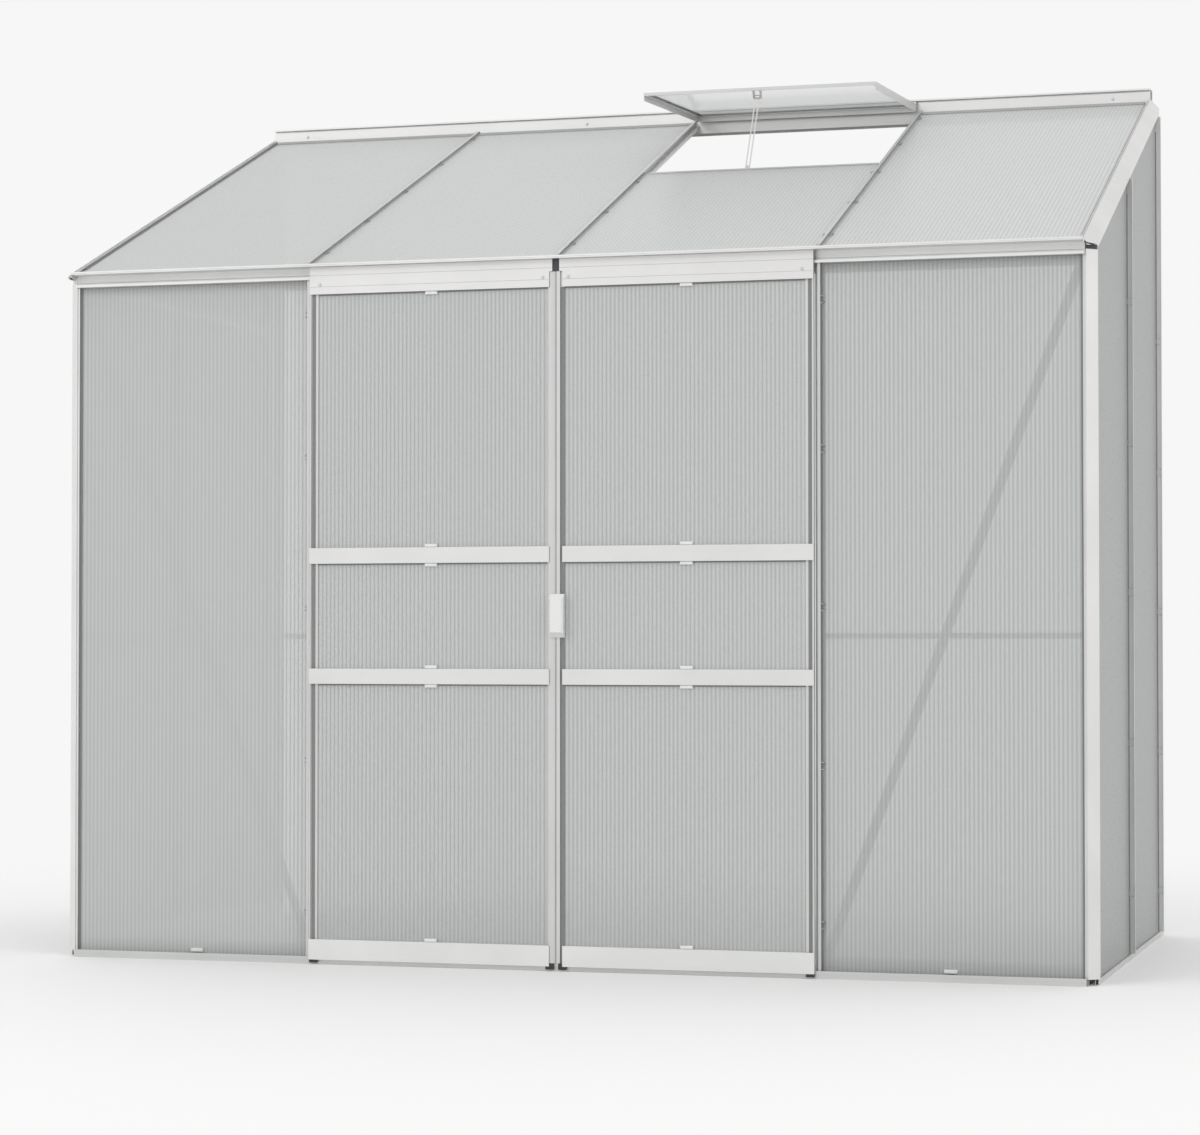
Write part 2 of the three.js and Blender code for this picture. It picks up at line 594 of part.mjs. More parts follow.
function ventSill() {
  const x = [BAR_FLANGE_HALF + GAP, BAY - BAR_FLANGE_HALF - GAP];
  const s = VENT_SILL_Y / SLOPE_COS;
  const outline = [
    [-VENT_SILL_LAP, GAP], [-VENT_SILL_LAP, GAP + CAP_LIP], [SKIN, GAP + CAP_LIP],
    [SKIN, -VENT_SILL_DEPTH], [0, -VENT_SILL_DEPTH], [0, -SHOULDER - SKIN],
    [-VENT_SILL_LAP, -SHOULDER - SKIN], [-VENT_SILL_LAP, -SHOULDER], [0, -SHOULDER], [0, GAP],
  ];
  const origin = ROOF_ORIGIN.clone().addScaledVector(ROOF_UP, s).setX(x[0]);
  const bar = prism(outline, x[1] - x[0], origin, ROOF_UP, ROOF_OUT);
  const root = origin.clone().addScaledVector(ROOF_UP, SKIN * 0.5).addScaledVector(ROOF_OUT, -STAY_PEG_DEPTH);
  const side = STAY_END.x - STAY_HALF - STAY_EAR_GAP;
  const pegX = [side - STAY_PEG_LENGTH, side];
  const peg = cylinderX(pegX, STAY_END.y, root.z, STAY_PIN_R);
  const plateX = [pegX[0], pegX[0] + STAY_EAR];
  const plateZ = [root.z - STAY_PIN_R * 2, root.z + STAY_PIN_R * 2];
  const plate = box(plateX, [root.y, STAY_END.y + STAY_PIN_R], plateZ);
  return bar.add(plate).add(peg);
}

addPart("vent_sill", ventSill(), ALUMINIUM);

// Gable ties and front braces
function tieBar(side) {
  const x = HALF - BAR_BACK - GAP;
  const points = [
    [x, TIE_Z - TIE_SIZE * 0.5], [x, TIE_Z + TIE_SIZE * 0.5], [x - TIE_SIZE, TIE_Z + TIE_SIZE * 0.5],
    [x - TIE_SIZE, TIE_Z + TIE_SIZE * 0.5 - SKIN], [x - SKIN, TIE_Z + TIE_SIZE * 0.5 - SKIN],
    [x - SKIN, TIE_Z - TIE_SIZE * 0.5],
  ];
  return crossways(points.map(([px, z]) => [side * px, z]), TIE_START_Y, WALL_Y - TIE_END_CUT);
}

function brace(side) {
  const top = new THREE.Vector2(side * (HALF - BRACE_OUTER_CUT), BRACE_TOP_Z);
  const low = new THREE.Vector2(side * (BAY + BRACE_INNER_CUT), BRACE_LOW_Z);
  const run = top.clone().sub(low).normalize().multiplyScalar(BRACE_WIDTH * 0.5);
  const half = new THREE.Vector2(-run.y, run.x);
  const points = [top.clone().add(half), top.clone().sub(half), low.clone().sub(half), low.clone().add(half)];
  const outline = points.map((point) => [point.y, point.x]);
  const y = SILL_BACK_Y + SKIN + GAP;
  return prism(outline, BRACE_THICK, new THREE.Vector3(0, y, 0), Z, X);
}

addPart("left_tie", tieBar(-1), ALUMINIUM);
addPart("right_tie", tieBar(1), ALUMINIUM);
addPart("left_brace", brace(-1), ALUMINIUM);
addPart("right_brace", brace(1), ALUMINIUM);

// Panes
const CORNER_PANE_END = HALF + CORNER_PROUD - CORNER_BEVEL - CORNER_SKIN - GAP;
const GABLE_PANE_START = CORNER_BEVEL - CORNER_PROUD + CORNER_SKIN + GAP;
const GABLE_PANE_TOP = -GABLE_PANE_START;

function frontPane(side) {
  return box([side * (BAY + EDGE_ROOM), side * CORNER_PANE_END], [0, SHEET], [BARS_Z, FRONT_PANE_TOP]);
}

function gablePane(side, y0, y1) {
  const outline = [
    [y0, BARS_Z], [y1, BARS_Z], [y1, roofZ(y1, GABLE_PANE_TOP)], [y0, roofZ(y0, GABLE_PANE_TOP)],
  ];
  return lengthways(outline, [side * HALF, side * (HALF - SHEET)]);
}

function roofPane(x0, x1, y1) {
  const outline = [[x0, -SHEET], [x1, -SHEET], [x1, 0], [x0, 0]];
  const pane = upRoof(outline, ROOF_PANE_START_Y, y1 + SHEET);
  return beforeY(pane, y1);
}

const PANE_END_Y = RIDGE_FACE_Y - GAP;
const SHORT_PANE_Y = VENT_SILL_Y - GAP;
addPart("left_front_pane", frontPane(-1), TWIN_WALL);
addPart("right_front_pane", frontPane(1), TWIN_WALL);
for (const [word, side] of [["left", -1], ["right", 1]]) {
  addPart(`${word}_gable_pane_front`, gablePane(side, GABLE_PANE_START, GABLE_BAY - EDGE_ROOM), TWIN_WALL);
  const rear = [GABLE_BAY + EDGE_ROOM, GABLE_BAY * GABLE_BAYS - EDGE_ROOM];
  addPart(`${word}_gable_pane_rear`, gablePane(side, ...rear), TWIN_WALL);
}
addPart("roof_pane_1", roofPane(-CORNER_PANE_END, -BAY - EDGE_ROOM, PANE_END_Y), TWIN_WALL);
addPart("roof_pane_2", roofPane(-BAY + EDGE_ROOM, -EDGE_ROOM, PANE_END_Y), TWIN_WALL);
addPart("roof_pane_3", roofPane(EDGE_ROOM, BAY - EDGE_ROOM, SHORT_PANE_Y), TWIN_WALL);
addPart("roof_pane_4", roofPane(BAY + EDGE_ROOM, CORNER_PANE_END, PANE_END_Y), TWIN_WALL);

// Vent: built flat, with the hinge at zero, then placed in its open position
const VENT_X = [VENT_MARGIN, BAY - VENT_MARGIN];
const VENT_PANE_TOP = -VENT_TOP_DROP - SKIN - GAP;
const VENT_PANE_LOW = VENT_PANE_TOP - VENT_SHEET;

function alongVent(outline, x) {
  return lengthways(outline.map(([down, out]) => [-down, out]), x);
}

function downVent(outline, start, end) {
  return crossways(outline, -end, -start);
}

function openVent(solid) {
  const turn = new THREE.Matrix4().makeBasis(X, REST.down.clone().negate(), REST.out);
  return solid.transform(turn.setPosition(HINGE).elements);
}

function ventFrame() {
  const top = -VENT_TOP_DROP;
  const ledge = VENT_PANE_LOW - GAP;
  const upper = [
    [0, top], [VENT_FLANGE, top], [VENT_FLANGE, top - SKIN], [SKIN, top - SKIN], [SKIN, ledge],
    [VENT_LEDGE, ledge], [VENT_LEDGE, ledge - SKIN],
  ];
  const side = [...upper, [SKIN, ledge - SKIN], [SKIN, VENT_UNDER], [0, VENT_UNDER]];
  const half = SKIN * 0.5;
  const run = [VENT_NECK_START + half, VENT_LENGTH - half];
  const left = downVent(side.map(([u, v]) => [VENT_X[0] + u, v]), ...run);
  const right = downVent(side.map(([u, v]) => [VENT_X[1] - u, v]), ...run);
  const channel = [...upper, [0, ledge - SKIN]];
  const foot = alongVent(channel.map(([u, v]) => [VENT_LENGTH - u, v]), VENT_X);
  const neckDrop = Math.tan(THREE.MathUtils.degToRad(VENT_NECK_ANGLE));
  const start = VENT_NECK_START;
  const head = alongVent([
    [0, half], [start + SKIN, half - (start + SKIN) * neckDrop], [start + SKIN, top],
    [start + VENT_FLANGE, top], [start + VENT_FLANGE, top - SKIN], [start + SKIN, top - SKIN],
    [start + SKIN, ledge], [start + VENT_LEDGE, ledge], [start + VENT_LEDGE, ledge - SKIN],
    [start + SKIN, ledge - SKIN], [start + SKIN, VENT_UNDER], [start, VENT_UNDER],
    [start, -half - start * neckDrop], [0, -half],
  ], VENT_X);
  const bead = cylinderX(VENT_X, 0, 0, VENT_BEAD_R);
  const earDrop = VENT_UNDER - STAY_PIVOT_DROP;
  const ear = [
    [VENT_LENGTH - half, ledge - half], [VENT_LENGTH - STAY_PIVOT_IN - STAY_EYE_R, ledge - half],
    [VENT_LENGTH - STAY_PIVOT_IN - STAY_EYE_R, earDrop - STAY_EYE_R],
    [VENT_LENGTH - STAY_PIVOT_IN + STAY_EYE_R, earDrop - STAY_EYE_R],
  ];
  const earOuter = [STAY_X[0] - STAY_EAR_GAP - STAY_EAR, STAY_X[1] + STAY_EAR_GAP + STAY_EAR];
  const earLeft = alongVent(ear, [earOuter[0], STAY_X[0] - STAY_EAR_GAP]);
  const earRight = alongVent(ear, [STAY_X[1] + STAY_EAR_GAP, earOuter[1]]);
  const pin = cylinderX(earOuter, STAY_PIVOT_IN - VENT_LENGTH, earDrop, STAY_PIN_R);
  const pieces = [right, foot, head, bead, earLeft, earRight, pin];
  return openVent(pieces.reduce((whole, piece) => whole.add(piece), left));
}

function ventPane() {
  const room = SKIN + GAP;
  const outline = [
    [VENT_X[0] + room, VENT_PANE_LOW], [VENT_X[1] - room, VENT_PANE_LOW],
    [VENT_X[1] - room, VENT_PANE_TOP], [VENT_X[0] + room, VENT_PANE_TOP],
  ];
  return openVent(downVent(outline, VENT_NECK_START + room, VENT_LENGTH - room));
}

function ventStay() {
  const run = STAY_END.clone().sub(STAY_PIVOT);
  const length = run.length();
  const down = run.normalize();
  const wide = X.clone().addScaledVector(down, -down.x).normalize();
  const rectangle = (u0, u1, v) => [[u0, -v], [u1, -v], [u1, v], [u0, v]];
  const slot = rectangle(STAY_SLOT_START, length - STAY_SLOT_END, STAY_HALF - STAY_RAIL);
  const face = new THREE.Vector3().crossVectors(down, wide);
  const origin = STAY_PIVOT.clone().addScaledVector(face, -STAY_THICK * 0.5);
  const bar = prism(rectangle(0, length, STAY_HALF), STAY_THICK, origin, down, wide, [slot]);
  const eye = cylinderX(STAY_X, STAY_PIVOT.y, STAY_PIVOT.z, STAY_EYE_R);
  const reach = [STAY_X[0] - STAY_EAR, STAY_X[1] + STAY_EAR];
  return bar.add(eye).subtract(cylinderX(reach, STAY_PIVOT.y, STAY_PIVOT.z, STAY_BORE_R));
}

addPart("vent_frame", ventFrame(), BRIGHT);
addPart("vent_pane", ventPane(), CLEAR);
addPart("vent_stay", ventStay(), BRIGHT);

// Sliding doors
const SLOT_FRONT_Y = DOOR_BACK_Y - SKIN - DOOR_SLOT;
const DOOR_PANE_Y = [SLOT_FRONT_Y + GAP, SLOT_FRONT_Y + DOOR_SLOT - GAP];
const REBATE_Y = SLOT_FRONT_Y - SKIN;
const STILE_FACE_Y = REBATE_Y - STILE_NOSE_OUT;
const ROLLER_Z = GUTTER_LOW_Z + TRACK_EDGE_HEIGHT + ROLLER_R + RUNNING_GAP;
const ROLLER_AT = [DOOR_MEET_HALF + ROLLER_INSET, DOOR_OUTER - ROLLER_INSET];
const middleOf = ([low, high]) => (low + high) * 0.5;

const flatNose = (width) => [[0, STILE_FACE_Y], [width, STILE_FACE_Y], [width, REBATE_Y]];
const COVER_SHARES = [[0, 1], [0.17, 0.5], [0.4, 0.15], [0.7, 0], [0.92, 0.1], [1, 0.35]];
const COVER_NOSE = [
  ...COVER_SHARES.map(([w, d]) => [w * COVER_WIDTH, STILE_FACE_Y + d * COVER_CROWN]), [COVER_WIDTH, REBATE_Y],
];

function stile(side, edge, inward, nose) {
  const outline = [
    ...nose, [STILE_WIDTH, REBATE_Y], [STILE_WIDTH, SLOT_FRONT_Y], [SKIN, SLOT_FRONT_Y],
    [SKIN, DOOR_BACK_Y - SKIN], [STILE_BACK, DOOR_BACK_Y - SKIN], [STILE_BACK, DOOR_BACK_Y],
    [0, DOOR_BACK_Y],
  ];
  return upright(outline.map(([w, y]) => [side * (edge + inward * w), y]), STILE_LOW_Z, STILE_TOP_Z);
}

// A rail is a hollow box in front, a web and a plate behind the pane. Its
// front plate runs on over the stiles.
function doorRail(side, box0, box1, web, plate) {
  const half = SKIN * 0.5;
  const outline = [
    [RAIL_FACE_Y, box0], [SLOT_FRONT_Y, box0], [SLOT_FRONT_Y, web - half],
    [DOOR_BACK_Y - SKIN, web - half], [DOOR_BACK_Y - SKIN, box0], [DOOR_BACK_Y, box0],
    [DOOR_BACK_Y, box1], [DOOR_BACK_Y - SKIN, box1], [DOOR_BACK_Y - SKIN, web + half],
    [SLOT_FRONT_Y, web + half], [SLOT_FRONT_Y, box1], [RAIL_FACE_Y, box1],
  ];
  const hollow = [
    [RAIL_FACE_Y + SKIN, box0 + SKIN], [REBATE_Y, box0 + SKIN],
    [REBATE_Y, box1 - SKIN], [RAIL_FACE_Y + SKIN, box1 - SKIN],
  ];
  const from = DOOR_MEET_HALF + STILE_WIDTH + GAP;
  const to = DOOR_OUTER - STILE_WIDTH - GAP;
  const body = lengthways(outline, [side * from, side * to], [hollow]);
  const plateX = [side * (DOOR_MEET_HALF + RAIL_MEET_CUT), side * DOOR_OUTER];
  return body.add(box(plateX, [RAIL_FACE_Y, RAIL_FACE_Y + SKIN], plate));
}

function topRail(side, web) {
  const tongue = [TOP_RAIL_MEET_CUT, RAIL_MEET_CUT + SKIN].map((cut) => side * (DOOR_MEET_HALF + cut));
  const tongueZ = [STILE_TOP_Z + GAP, TOP_RAIL_TOP];
  let rail = doorRail(side, TOP_RAIL[0], TOP_BOX_Z, web, TOP_RAIL);
  rail = rail.add(box(tongue, [RAIL_FACE_Y, RAIL_FACE_Y + SKIN], tongueZ));
  for (const drop of TOP_RAIL_GROOVES) {
    const groove = vGroove(RAIL_FACE_Y - FACE_GROOVE, TOP_RAIL_TOP - drop, FACE_GROOVE * 2);
    rail = rail.subtract(lengthways(groove, [0, side * HALF]));
  }
  const shaft = [RAIL_FACE_Y + SKIN * 0.5, TRACK_Y + ROLLER_HALF + RUNNING_GAP + AXLE_HEAD];
  const head = [shaft[1] - AXLE_HEAD, shaft[1]];
  for (const at of ROLLER_AT) {
    rail = rail.add(cylinderY(side * at, shaft, ROLLER_Z, AXLE_R));
    rail = rail.add(cylinderY(side * at, head, ROLLER_Z, AXLE_HEAD_R));
  }
  return rail;
}

function roller(x) {
  const bore = AXLE_R + RUNNING_GAP;
  const profile = [
    [bore, -ROLLER_HALF], [ROLLER_RIM_R, -ROLLER_HALF], [ROLLER_RIM_R, -ROLLER_MOUTH_HALF],
    [ROLLER_R, -ROLLER_GROOVE_HALF], [ROLLER_R, ROLLER_GROOVE_HALF], [ROLLER_RIM_R, ROLLER_MOUTH_HALF],
    [ROLLER_RIM_R, ROLLER_HALF], [bore, ROLLER_HALF], [bore, -ROLLER_HALF],
  ];
  const geometry = new THREE.LatheGeometry(profile.map(([r, y]) => new THREE.Vector2(r, y)), TURN_STEPS);
  geometry.translate(x, TRACK_Y, ROLLER_Z);
  return toSolid(geometry);
}

function doorPane(side, z0, z1) {
  const room = SKIN + GAP;
  const x = [side * (DOOR_MEET_HALF + room), side * (DOOR_OUTER - room)];
  return box(x, DOOR_PANE_Y, [z0, z1]);
}

function handle() {
  const back = RAIL_FACE_Y + SKIN * 0.5 + GAP;
  const foot = STILE_FACE_Y - GAP;
  const lowEnd = [
    [foot, HANDLE_LOW_Z], [back - HANDLE_EDGE, HANDLE_LOW_Z],
    [HANDLE_FRONT_Y, HANDLE_LOW_Z + HANDLE_EDGE * 3], [HANDLE_FRONT_Y, HANDLE_TOP_Z - HANDLE_EDGE * 3],
    [back - HANDLE_EDGE, HANDLE_TOP_Z], [foot, HANDLE_TOP_Z],
  ];
  const left = HANDLE_MIDDLE - HANDLE_HALF;
  const right = HANDLE_MIDDLE + HANDLE_HALF;
  const side = lengthways(lowEnd, [left, right]);
  const plan = upright([
    [left, foot], [right, foot], [right, HANDLE_FRONT_Y + HANDLE_EDGE],
    [right - HANDLE_EDGE, HANDLE_FRONT_Y], [left + HANDLE_EDGE, HANDLE_FRONT_Y],
    [left, HANDLE_FRONT_Y + HANDLE_EDGE],
  ], HANDLE_LOW_Z, HANDLE_TOP_Z);
  return side.intersect(plan);
}

const BOTTOM_WEB = STILE_LOW_Z + BOTTOM_WEB_RISE;
const TOP_WEB = TOP_BOX_Z - TOP_WEB_DROP;
const WEB_ROOM = SKIN * 0.5 + GAP;

for (const [word, side] of [["left", -1], ["right", 1]]) {
  const lower = middleOf(LOWER_RAIL);
  const upper = middleOf(UPPER_RAIL);
  const meetingNose = side < 0 ? COVER_NOSE : flatNose(STILE_NOSE);
  addPart(`${word}_door_meeting_stile`, stile(side, DOOR_MEET_HALF, 1, meetingNose), ALUMINIUM);
  addPart(`${word}_door_outer_stile`, stile(side, DOOR_OUTER, -1, flatNose(OUTER_NOSE)), ALUMINIUM);
  const bottom = doorRail(side, STILE_LOW_Z, BOTTOM_RAIL[1], BOTTOM_WEB, BOTTOM_RAIL);
  addPart(`${word}_door_bottom_rail`, bottom, BRIGHT);
  addPart(`${word}_door_lower_rail`, doorRail(side, ...LOWER_RAIL, lower, LOWER_RAIL), BRIGHT);
  addPart(`${word}_door_upper_rail`, doorRail(side, ...UPPER_RAIL, upper, UPPER_RAIL), BRIGHT);
  addPart(`${word}_door_top_rail`, topRail(side, TOP_WEB), BRIGHT);
  addPart(`${word}_door_low_pane`, doorPane(side, BOTTOM_WEB + WEB_ROOM, lower - WEB_ROOM), TWIN_WALL);
  addPart(`${word}_door_middle_pane`, doorPane(side, lower + WEB_ROOM, upper - WEB_ROOM), TWIN_WALL);
  addPart(`${word}_door_high_pane`, doorPane(side, upper + WEB_ROOM, TOP_WEB - WEB_ROOM), TWIN_WALL);
  addPart(`${word}_door_inner_roller`, roller(side * ROLLER_AT[0]), BLACK);
  addPart(`${word}_door_outer_roller`, roller(side * ROLLER_AT[1]), BLACK);
}
addPart("door_handle", handle(), WHITE);

// Centre the whole in Y, with the floor at zero
const centre = (GUTTER_FRONT_Y + WALL_Y) * 0.5;
for (const mesh of model.children) mesh.geometry.translate(0, -centre, 0);

export default model;
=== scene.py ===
import math

import bpy
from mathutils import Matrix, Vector


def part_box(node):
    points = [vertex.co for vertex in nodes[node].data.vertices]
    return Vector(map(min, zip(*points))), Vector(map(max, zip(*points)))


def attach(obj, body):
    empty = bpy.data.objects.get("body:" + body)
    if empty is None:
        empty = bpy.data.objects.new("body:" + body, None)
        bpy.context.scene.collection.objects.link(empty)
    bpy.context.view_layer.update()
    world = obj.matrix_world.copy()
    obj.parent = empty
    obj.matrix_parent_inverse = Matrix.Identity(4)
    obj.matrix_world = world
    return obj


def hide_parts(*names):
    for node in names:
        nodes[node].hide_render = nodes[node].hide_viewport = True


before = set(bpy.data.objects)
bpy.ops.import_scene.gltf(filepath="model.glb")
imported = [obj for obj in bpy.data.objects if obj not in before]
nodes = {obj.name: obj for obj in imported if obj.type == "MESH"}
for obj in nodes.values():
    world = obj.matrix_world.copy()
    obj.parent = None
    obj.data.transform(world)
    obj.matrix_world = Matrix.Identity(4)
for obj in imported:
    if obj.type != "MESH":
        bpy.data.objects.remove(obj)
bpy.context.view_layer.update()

# Sizes are in millimetres, in the frame of the CAD source: X is zero in the middle,
# Y is zero at the outer face of the front panes and grows towards the wall, and Z is
# zero on the ground. DEPTH_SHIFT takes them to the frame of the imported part.
DEPTH_SHIFT = 631.0
BAY = 620.0
HALF = 1240.0
EAVES_Z = 1662.0
ROOF_RISE = 504.0
ROOF_DEPTH = 1262.0
SLOPE = math.atan2(ROOF_RISE, ROOF_DEPTH)
SIN, COS = math.sin(SLOPE), math.cos(SLOPE)
SHEET = 4.0
RIB_PITCH = 10.0
RIB_WIDTH = 0.9
SKIN_ROOM = 0.15
RIB_ROOM = 1.0
SIDES = (("left", -1), ("right", 1))

# Camera and light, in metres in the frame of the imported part, the lens in millimetres
CAMERA_AT = (2.168, -7.728, 0.757)
CAMERA_TURN = math.radians(16.255)
CAMERA_TILT = math.radians(1.366)
CAMERA_LENS = 95.75
CAMERA_SENSOR = 36.0
CAMERA_REACH = 200
LIT_POINT = (0, 0, 1.0)
KEY_AT, KEY_SIZE, KEY_POWER = (-8.0, -13.0, 10.0), (9, 7), 400.0
FILL_AT, FILL_SIZE, FILL_POWER = (9.0, -5.0, 5.0), (6, 6), 100.0
SKY, SKY_COLOUR = 1.15, (0.98, 0.985, 0.99, 1)
WHITE = (0.93, 0.93, 0.93, 1)
FLOOR_RADIUS, FLOOR_STEPS = 60.0, 96
FLOOR_COLOUR, FLOOR_ROUGH = (0.8, 0.8, 0.79), 0.75
FADE_FROM, FADE_TO = 1.9, 4.5

X = Vector((1, 0, 0))
Y = Vector((0, 1, 0))
Z = Vector((0, 0, 1))
UP_ROOF = Vector((0, COS, SIN))
OUT_ROOF = Vector((0, -SIN, COS))
SMOOTH_FROM = 8


def to_part(p):
    return Vector((p[0] / 1000, (p[1] - DEPTH_SHIFT) / 1000, p[2] / 1000))


def roof_point(x, y):
    """A point over depth y on the outer plane of the roof panes."""
    return Vector((x, 0, EAVES_Z)) + UP_ROOF * (y / COS)


def sides_of_ring(low, high, steps):
    """Faces between two rings of points. A ring of one point is a tip."""
    faces = []
    for k in range(steps):
        j = (k + 1) % steps
        corners = [low[k % len(low)], low[j % len(low)], high[j % len(high)], high[k % len(high)]]
        face = list(dict.fromkeys(corners))
        if len(face) > 2:
            faces.append(face)
    return faces


class Piece:
    """Collects closed shapes in millimetres and makes one mesh of them."""

    def __init__(self):
        self.points, self.faces, self.slots, self.smooth = [], [], [], []

    def add(self, points, faces, slot=0, smooth=False):
        base = len(self.points)
        self.points += [Vector(p) for p in points]
        for face in faces:
            self.faces.append([base + i for i in face])
            self.slots.append(slot)
            self.smooth.append(smooth)

    def prism(self, outline, origin, a, b, along, slot=0):
        """Outline points (u, v) in the plane of a and b, drawn along a vector."""
        turn = a.cross(b).dot(along)
        area = sum(p[0] * q[1] - q[0] * p[1] for p, q in zip(outline, outline[1:] + outline[:1]))
        pts = list(outline) if area * turn > 0 else list(reversed(outline))
        n = len(pts)
        low = [origin + a * u + b * v for u, v in pts]
        high = [p + along for p in low]
        faces = [list(range(n - 1, -1, -1)), list(range(n, 2 * n))]
        faces += [[i, (i + 1) % n, n + (i + 1) % n, n + i] for i in range(n)]
        self.add(low + high, faces, slot)

    def box(self, x, y, z):
        outline = [(x[0], y[0]), (x[1], y[0]), (x[1], y[1]), (x[0], y[1])]
        self.prism(outline, Vector((0, 0, z[0])), X, Y, Z * (z[1] - z[0]))

    def bevel_box(self, x, y, z, edge):
        """A block whose front edges, towards -Y, are cut back."""
        points = []
        for depth, inset in ((y[1], 0), (y[0] + edge, 0), (y[0], edge)):
            x0, x1, z0, z1 = x[0] + inset, x[1] - inset, z[0] + inset, z[1] - inset
            points += [(x0, depth, z0), (x1, depth, z0), (x1, depth, z1), (x0, depth, z1)]
        faces = [[3, 2, 1, 0], [8, 9, 10, 11]]
        for low in (0, 4):
            for i in range(4):
                j = (i + 1) % 4
                faces.append([low + i, low + j, low + 4 + j, low + 4 + i])
        self.add(points, faces)

    def turned(self, profile, centre, axis, steps):
        """Profile points (radius, along) turned about an axis."""
        axis = axis.normalized()
        side = axis.orthogonal().normalized()
        other = axis.cross(side)
        points, rings = [], []
        for radius, along in profile:
            count = steps if radius else 1
            rings.append(list(range(len(points), len(points) + count)))
            for k in range(count):
                t = 2 * math.pi * k / steps
                spoke = side * math.cos(t) + other * math.sin(t)
                points.append(centre + axis * along + spoke * radius)
        faces = []
        for low, high in zip(rings, rings[1:]):
            faces += sides_of_ring(low, high, steps)
        if len(rings[0]) > 1:
            faces.append(list(reversed(rings[0])))
        if len(rings[-1]) > 1:
            faces.append(rings[-1])
        self.add(points, faces, 0, steps > SMOOTH_FROM)

    def wire(self, path, radius, steps, slot):
        """A round wire along a path of points."""
        points, rings = [], []
        side = None
        for i, p in enumerate(path):
            along = (path[min(i + 1, len(path) - 1)] - path[max(i - 1, 0)]).normalized()
            side = along.orthogonal() if side is None else side - along * side.dot(along)
            side.normalize()
            other = along.cross(side)
            rings.append(range(len(points), len(points) + steps))
            for k in range(steps):
                t = 2 * math.pi * k / steps
                points.append(p + (side * math.cos(t) + other * math.sin(t)) * radius)
        faces = [list(reversed(rings[0])), list(rings[-1])]
        for low, high in zip(rings, rings[1:]):
            faces += sides_of_ring(low, high, steps)
        self.add(points, faces, slot, True)

    def make(self, name, body, materials):
        mesh = bpy.data.meshes.new(name)
        mesh.from_pydata([to_part(p) for p in self.points], [], self.faces)
        for material in materials:
            mesh.materials.append(material)
        mesh.polygons.foreach_set("material_index", self.slots)
        mesh.polygons.foreach_set("use_smooth", self.smooth)
        mesh.update()
        obj = bpy.data.objects.new(name, mesh)
        bpy.context.scene.collection.objects.link(obj)
        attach(obj, body)
        return obj


# Materials. Lengths in them are in metres.
RAMP_LOW, RAMP_HIGH = 0.3, 0.7


def new_material(name, color, roughness, metallic=0.0, alpha=1.0):
    material = bpy.data.materials.new(name)
    material.use_nodes = True
    shader = material.node_tree.nodes["Principled BSDF"]
    shader.inputs["Base Color"].default_value = (*color, 1)
    shader.inputs["Roughness"].default_value = roughness
    shader.inputs["Metallic"].default_value = metallic
    shader.inputs["Alpha"].default_value = alpha
    return material, material.node_tree, shader


def link(tree, a, out, b, inp):
    tree.links.new(a.outputs[out], b.inputs[inp])


def noise(tree, scale, detail=3.0, stretch=(1, 1, 1)):
    coords = tree.nodes.new("ShaderNodeTexCoord")
    mapping = tree.nodes.new("ShaderNodeMapping")
    mapping.inputs["Scale"].default_value = stretch
    texture = tree.nodes.new("ShaderNodeTexNoise")
    texture.inputs["Scale"].default_value = scale
    texture.inputs["Detail"].default_value = detail
    link(tree, coords, "Object", mapping, "Vector")
    link(tree, mapping, "Vector", texture, "Vector")
    return texture


def vary_roughness(tree, shader, texture, low, high):
    ramp = tree.nodes.new("ShaderNodeMapRange")
    ramp.inputs["From Min"].default_value = RAMP_LOW
    ramp.inputs["From Max"].default_value = RAMP_HIGH
    ramp.inputs["To Min"].default_value = low
    ramp.inputs["To Max"].default_value = high
    link(tree, texture, "Fac", ramp, "Value")
    link(tree, ramp, "Result", shader, "Roughness")


def vary_colour(tree, shader, texture, color, dark, low=RAMP_LOW, high=RAMP_HIGH):
    """The colour, and a share of it where the texture is low."""
    ramp = tree.nodes.new("ShaderNodeValToRGB")
    ends = ramp.color_ramp.elements
    ends[0].position, ends[1].position = low, high
    ends[0].color = (*[c * dark for c in color], 1)
    ends[1].color = (*color, 1)
    link(tree, texture, "Fac", ramp, "Fac")
    link(tree, ramp, "Color", shader, "Base Color")


def bump(tree, shader, texture, strength, distance):
    node = tree.nodes.new("ShaderNodeBump")
    node.inputs["Strength"].default_value = strength
    node.inputs["Distance"].default_value = distance
    link(tree, texture, "Fac", node, "Height")
    link(tree, node, "Normal", shader, "Normal")


METAL_SHARE = 0.75
METAL_CLOUD, METAL_CLOUD_DETAIL, METAL_DARK = 5.0, 4.0, 0.93
METAL_SWING = 0.08
LINE_STRENGTH, LINE_DEPTH = 0.25, 0.0002


def aluminium(name, color, rough, stretch):
    """Drawn metal: fine lines along it and a faint cloud of tone."""
    material, tree, shader = new_material(name, color, rough, METAL_SHARE)
    cloud = noise(tree, METAL_CLOUD, METAL_CLOUD_DETAIL)
    vary_colour(tree, shader, cloud, color, METAL_DARK)
    lines = noise(tree, 1.0, stretch=stretch)
    vary_roughness(tree, shader, lines, rough - METAL_SWING, rough + METAL_SWING)
    bump(tree, shader, lines, LINE_STRENGTH, LINE_DEPTH)
    return material


